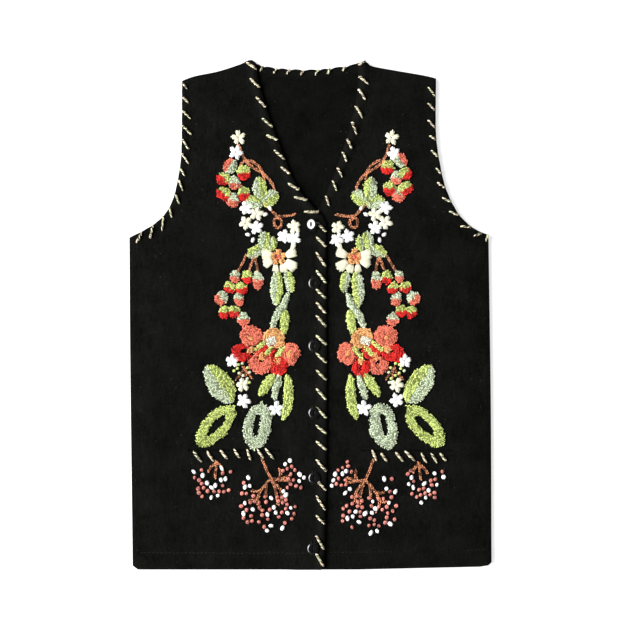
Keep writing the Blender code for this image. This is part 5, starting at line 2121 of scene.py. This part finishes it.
def set_lights(scene):
    """A dark room with a tall soft light on the left, and a broad lamp beside it."""
    scene.view_settings.view_transform = "Standard"
    world = bpy.data.worlds.new("studio")
    scene.world = world
    world.use_nodes = True
    tree = world.node_tree
    background = tree.nodes["Background"]
    place = tree.nodes.new("ShaderNodeTexCoord")
    apart = tree.nodes.new("ShaderNodeSeparateXYZ")
    put(tree, apart.inputs[0], place.outputs["Generated"])
    across, up = apart.outputs["X"], apart.outputs["Z"]
    beside = stretched(tree, across, -0.54, -0.64)
    below = stretched(tree, up, 0.74, 0.66)
    above = stretched(tree, up, 0.24, 0.32)
    window = times(tree, times(tree, beside, below), times(tree, above, WINDOW_GLOW))
    side = stretched(tree, across, -0.5, 0.15, 0.60, 0.05)
    horizon = stretched(tree, up, 0.12, 0.5, 0.1, 1.0)
    lower = times(tree, side, stretched(tree, up, 0.92, 0.70, 0.06, 1.0))
    lower = times(tree, lower, horizon)
    put(tree, background.inputs["Strength"], plus(tree, window, lower))
    background.inputs["Color"].default_value = (1.0, 1.0, 1.0, 1.0)
    light = bpy.data.lights.new("key", "AREA")
    light.shape = "DISK"
    light.size = LAMP_SIZE
    light.energy = LAMP_POWER * math.pi * LAMP_AWAY**2
    key = bpy.data.objects.new("key", light)
    scene.collection.objects.link(key)
    towards = Vector(LAMP_TOWARDS).normalized()
    key.location = towards * LAMP_AWAY
    key.rotation_euler = towards.to_track_quat("Z", "Y").to_euler()


def set_camera(scene):
    """Straight above, framed as in the photo."""
    camera = bpy.data.cameras.new("camera")
    camera.lens = LENS
    camera.sensor_width = SENSOR
    camera.clip_end = 50.0
    thing = bpy.data.objects.new("camera", camera)
    scene.collection.objects.link(thing)
    middle = from_photo(PHOTO_SIZE / 2, PHOTO_SIZE / 2) * MM
    shown = PHOTO_SIZE * PIXEL * MM
    thing.location = (middle[0], middle[1], FOCUS_HEIGHT + shown * LENS / SENSOR)
    scene.camera = thing


class VEST_PT_panel(bpy.types.Panel):
    """Lists the vest's sizes, colours and pieces"""

    bl_idname = "VEST_PT_panel"
    bl_label = "Winter vest"
    bl_space_type = "VIEW_3D"
    bl_region_type = "UI"
    bl_category = "Vest"

    def draw(self, context):
        for group in (context.scene.vest_sizes, context.scene.vest_colours):
            box = self.layout.box()
            for title in group.bl_rna.properties.keys():
                if title not in ("rna_type", "name"):
                    box.prop(group, title)
        for step in STEPS:
            self.layout.operator(step.bl_idname)


STEPS = (
    VEST_OT_stage,
    VEST_OT_back,
    VEST_OT_pockets,
    VEST_OT_front_left,
    VEST_OT_front_right,
    VEST_OT_leaves,
    VEST_OT_berries,
    VEST_OT_flowers,
    VEST_OT_blossoms,
    VEST_OT_stems,
    VEST_OT_knots,
    VEST_OT_edge_stitches,
    VEST_OT_hem_stitches,
    VEST_OT_buttons,
)
CLASSES = (VestSizes, VestColours, *STEPS, VEST_PT_panel)


def register():
    for item in CLASSES:
        bpy.utils.register_class(item)
    bpy.types.Scene.vest_sizes = PointerProperty(type=VestSizes)
    bpy.types.Scene.vest_colours = PointerProperty(type=VestColours)


def unregister():
    del bpy.types.Scene.vest_colours
    del bpy.types.Scene.vest_sizes
    for item in reversed(CLASSES):
        bpy.utils.unregister_class(item)


def main():
    register()
    bpy.ops.vest.stage()
    bpy.ops.vest.back()
    bpy.ops.vest.pockets()
    bpy.ops.vest.front_left()
    bpy.ops.vest.front_right()
    bpy.ops.vest.leaves()
    bpy.ops.vest.berries()
    bpy.ops.vest.flowers()
    bpy.ops.vest.blossoms()
    bpy.ops.vest.stems()
    bpy.ops.vest.knots()
    bpy.ops.vest.edge_stitches()
    bpy.ops.vest.hem_stitches()
    bpy.ops.vest.buttons()


if __name__ == "__main__":
    main()
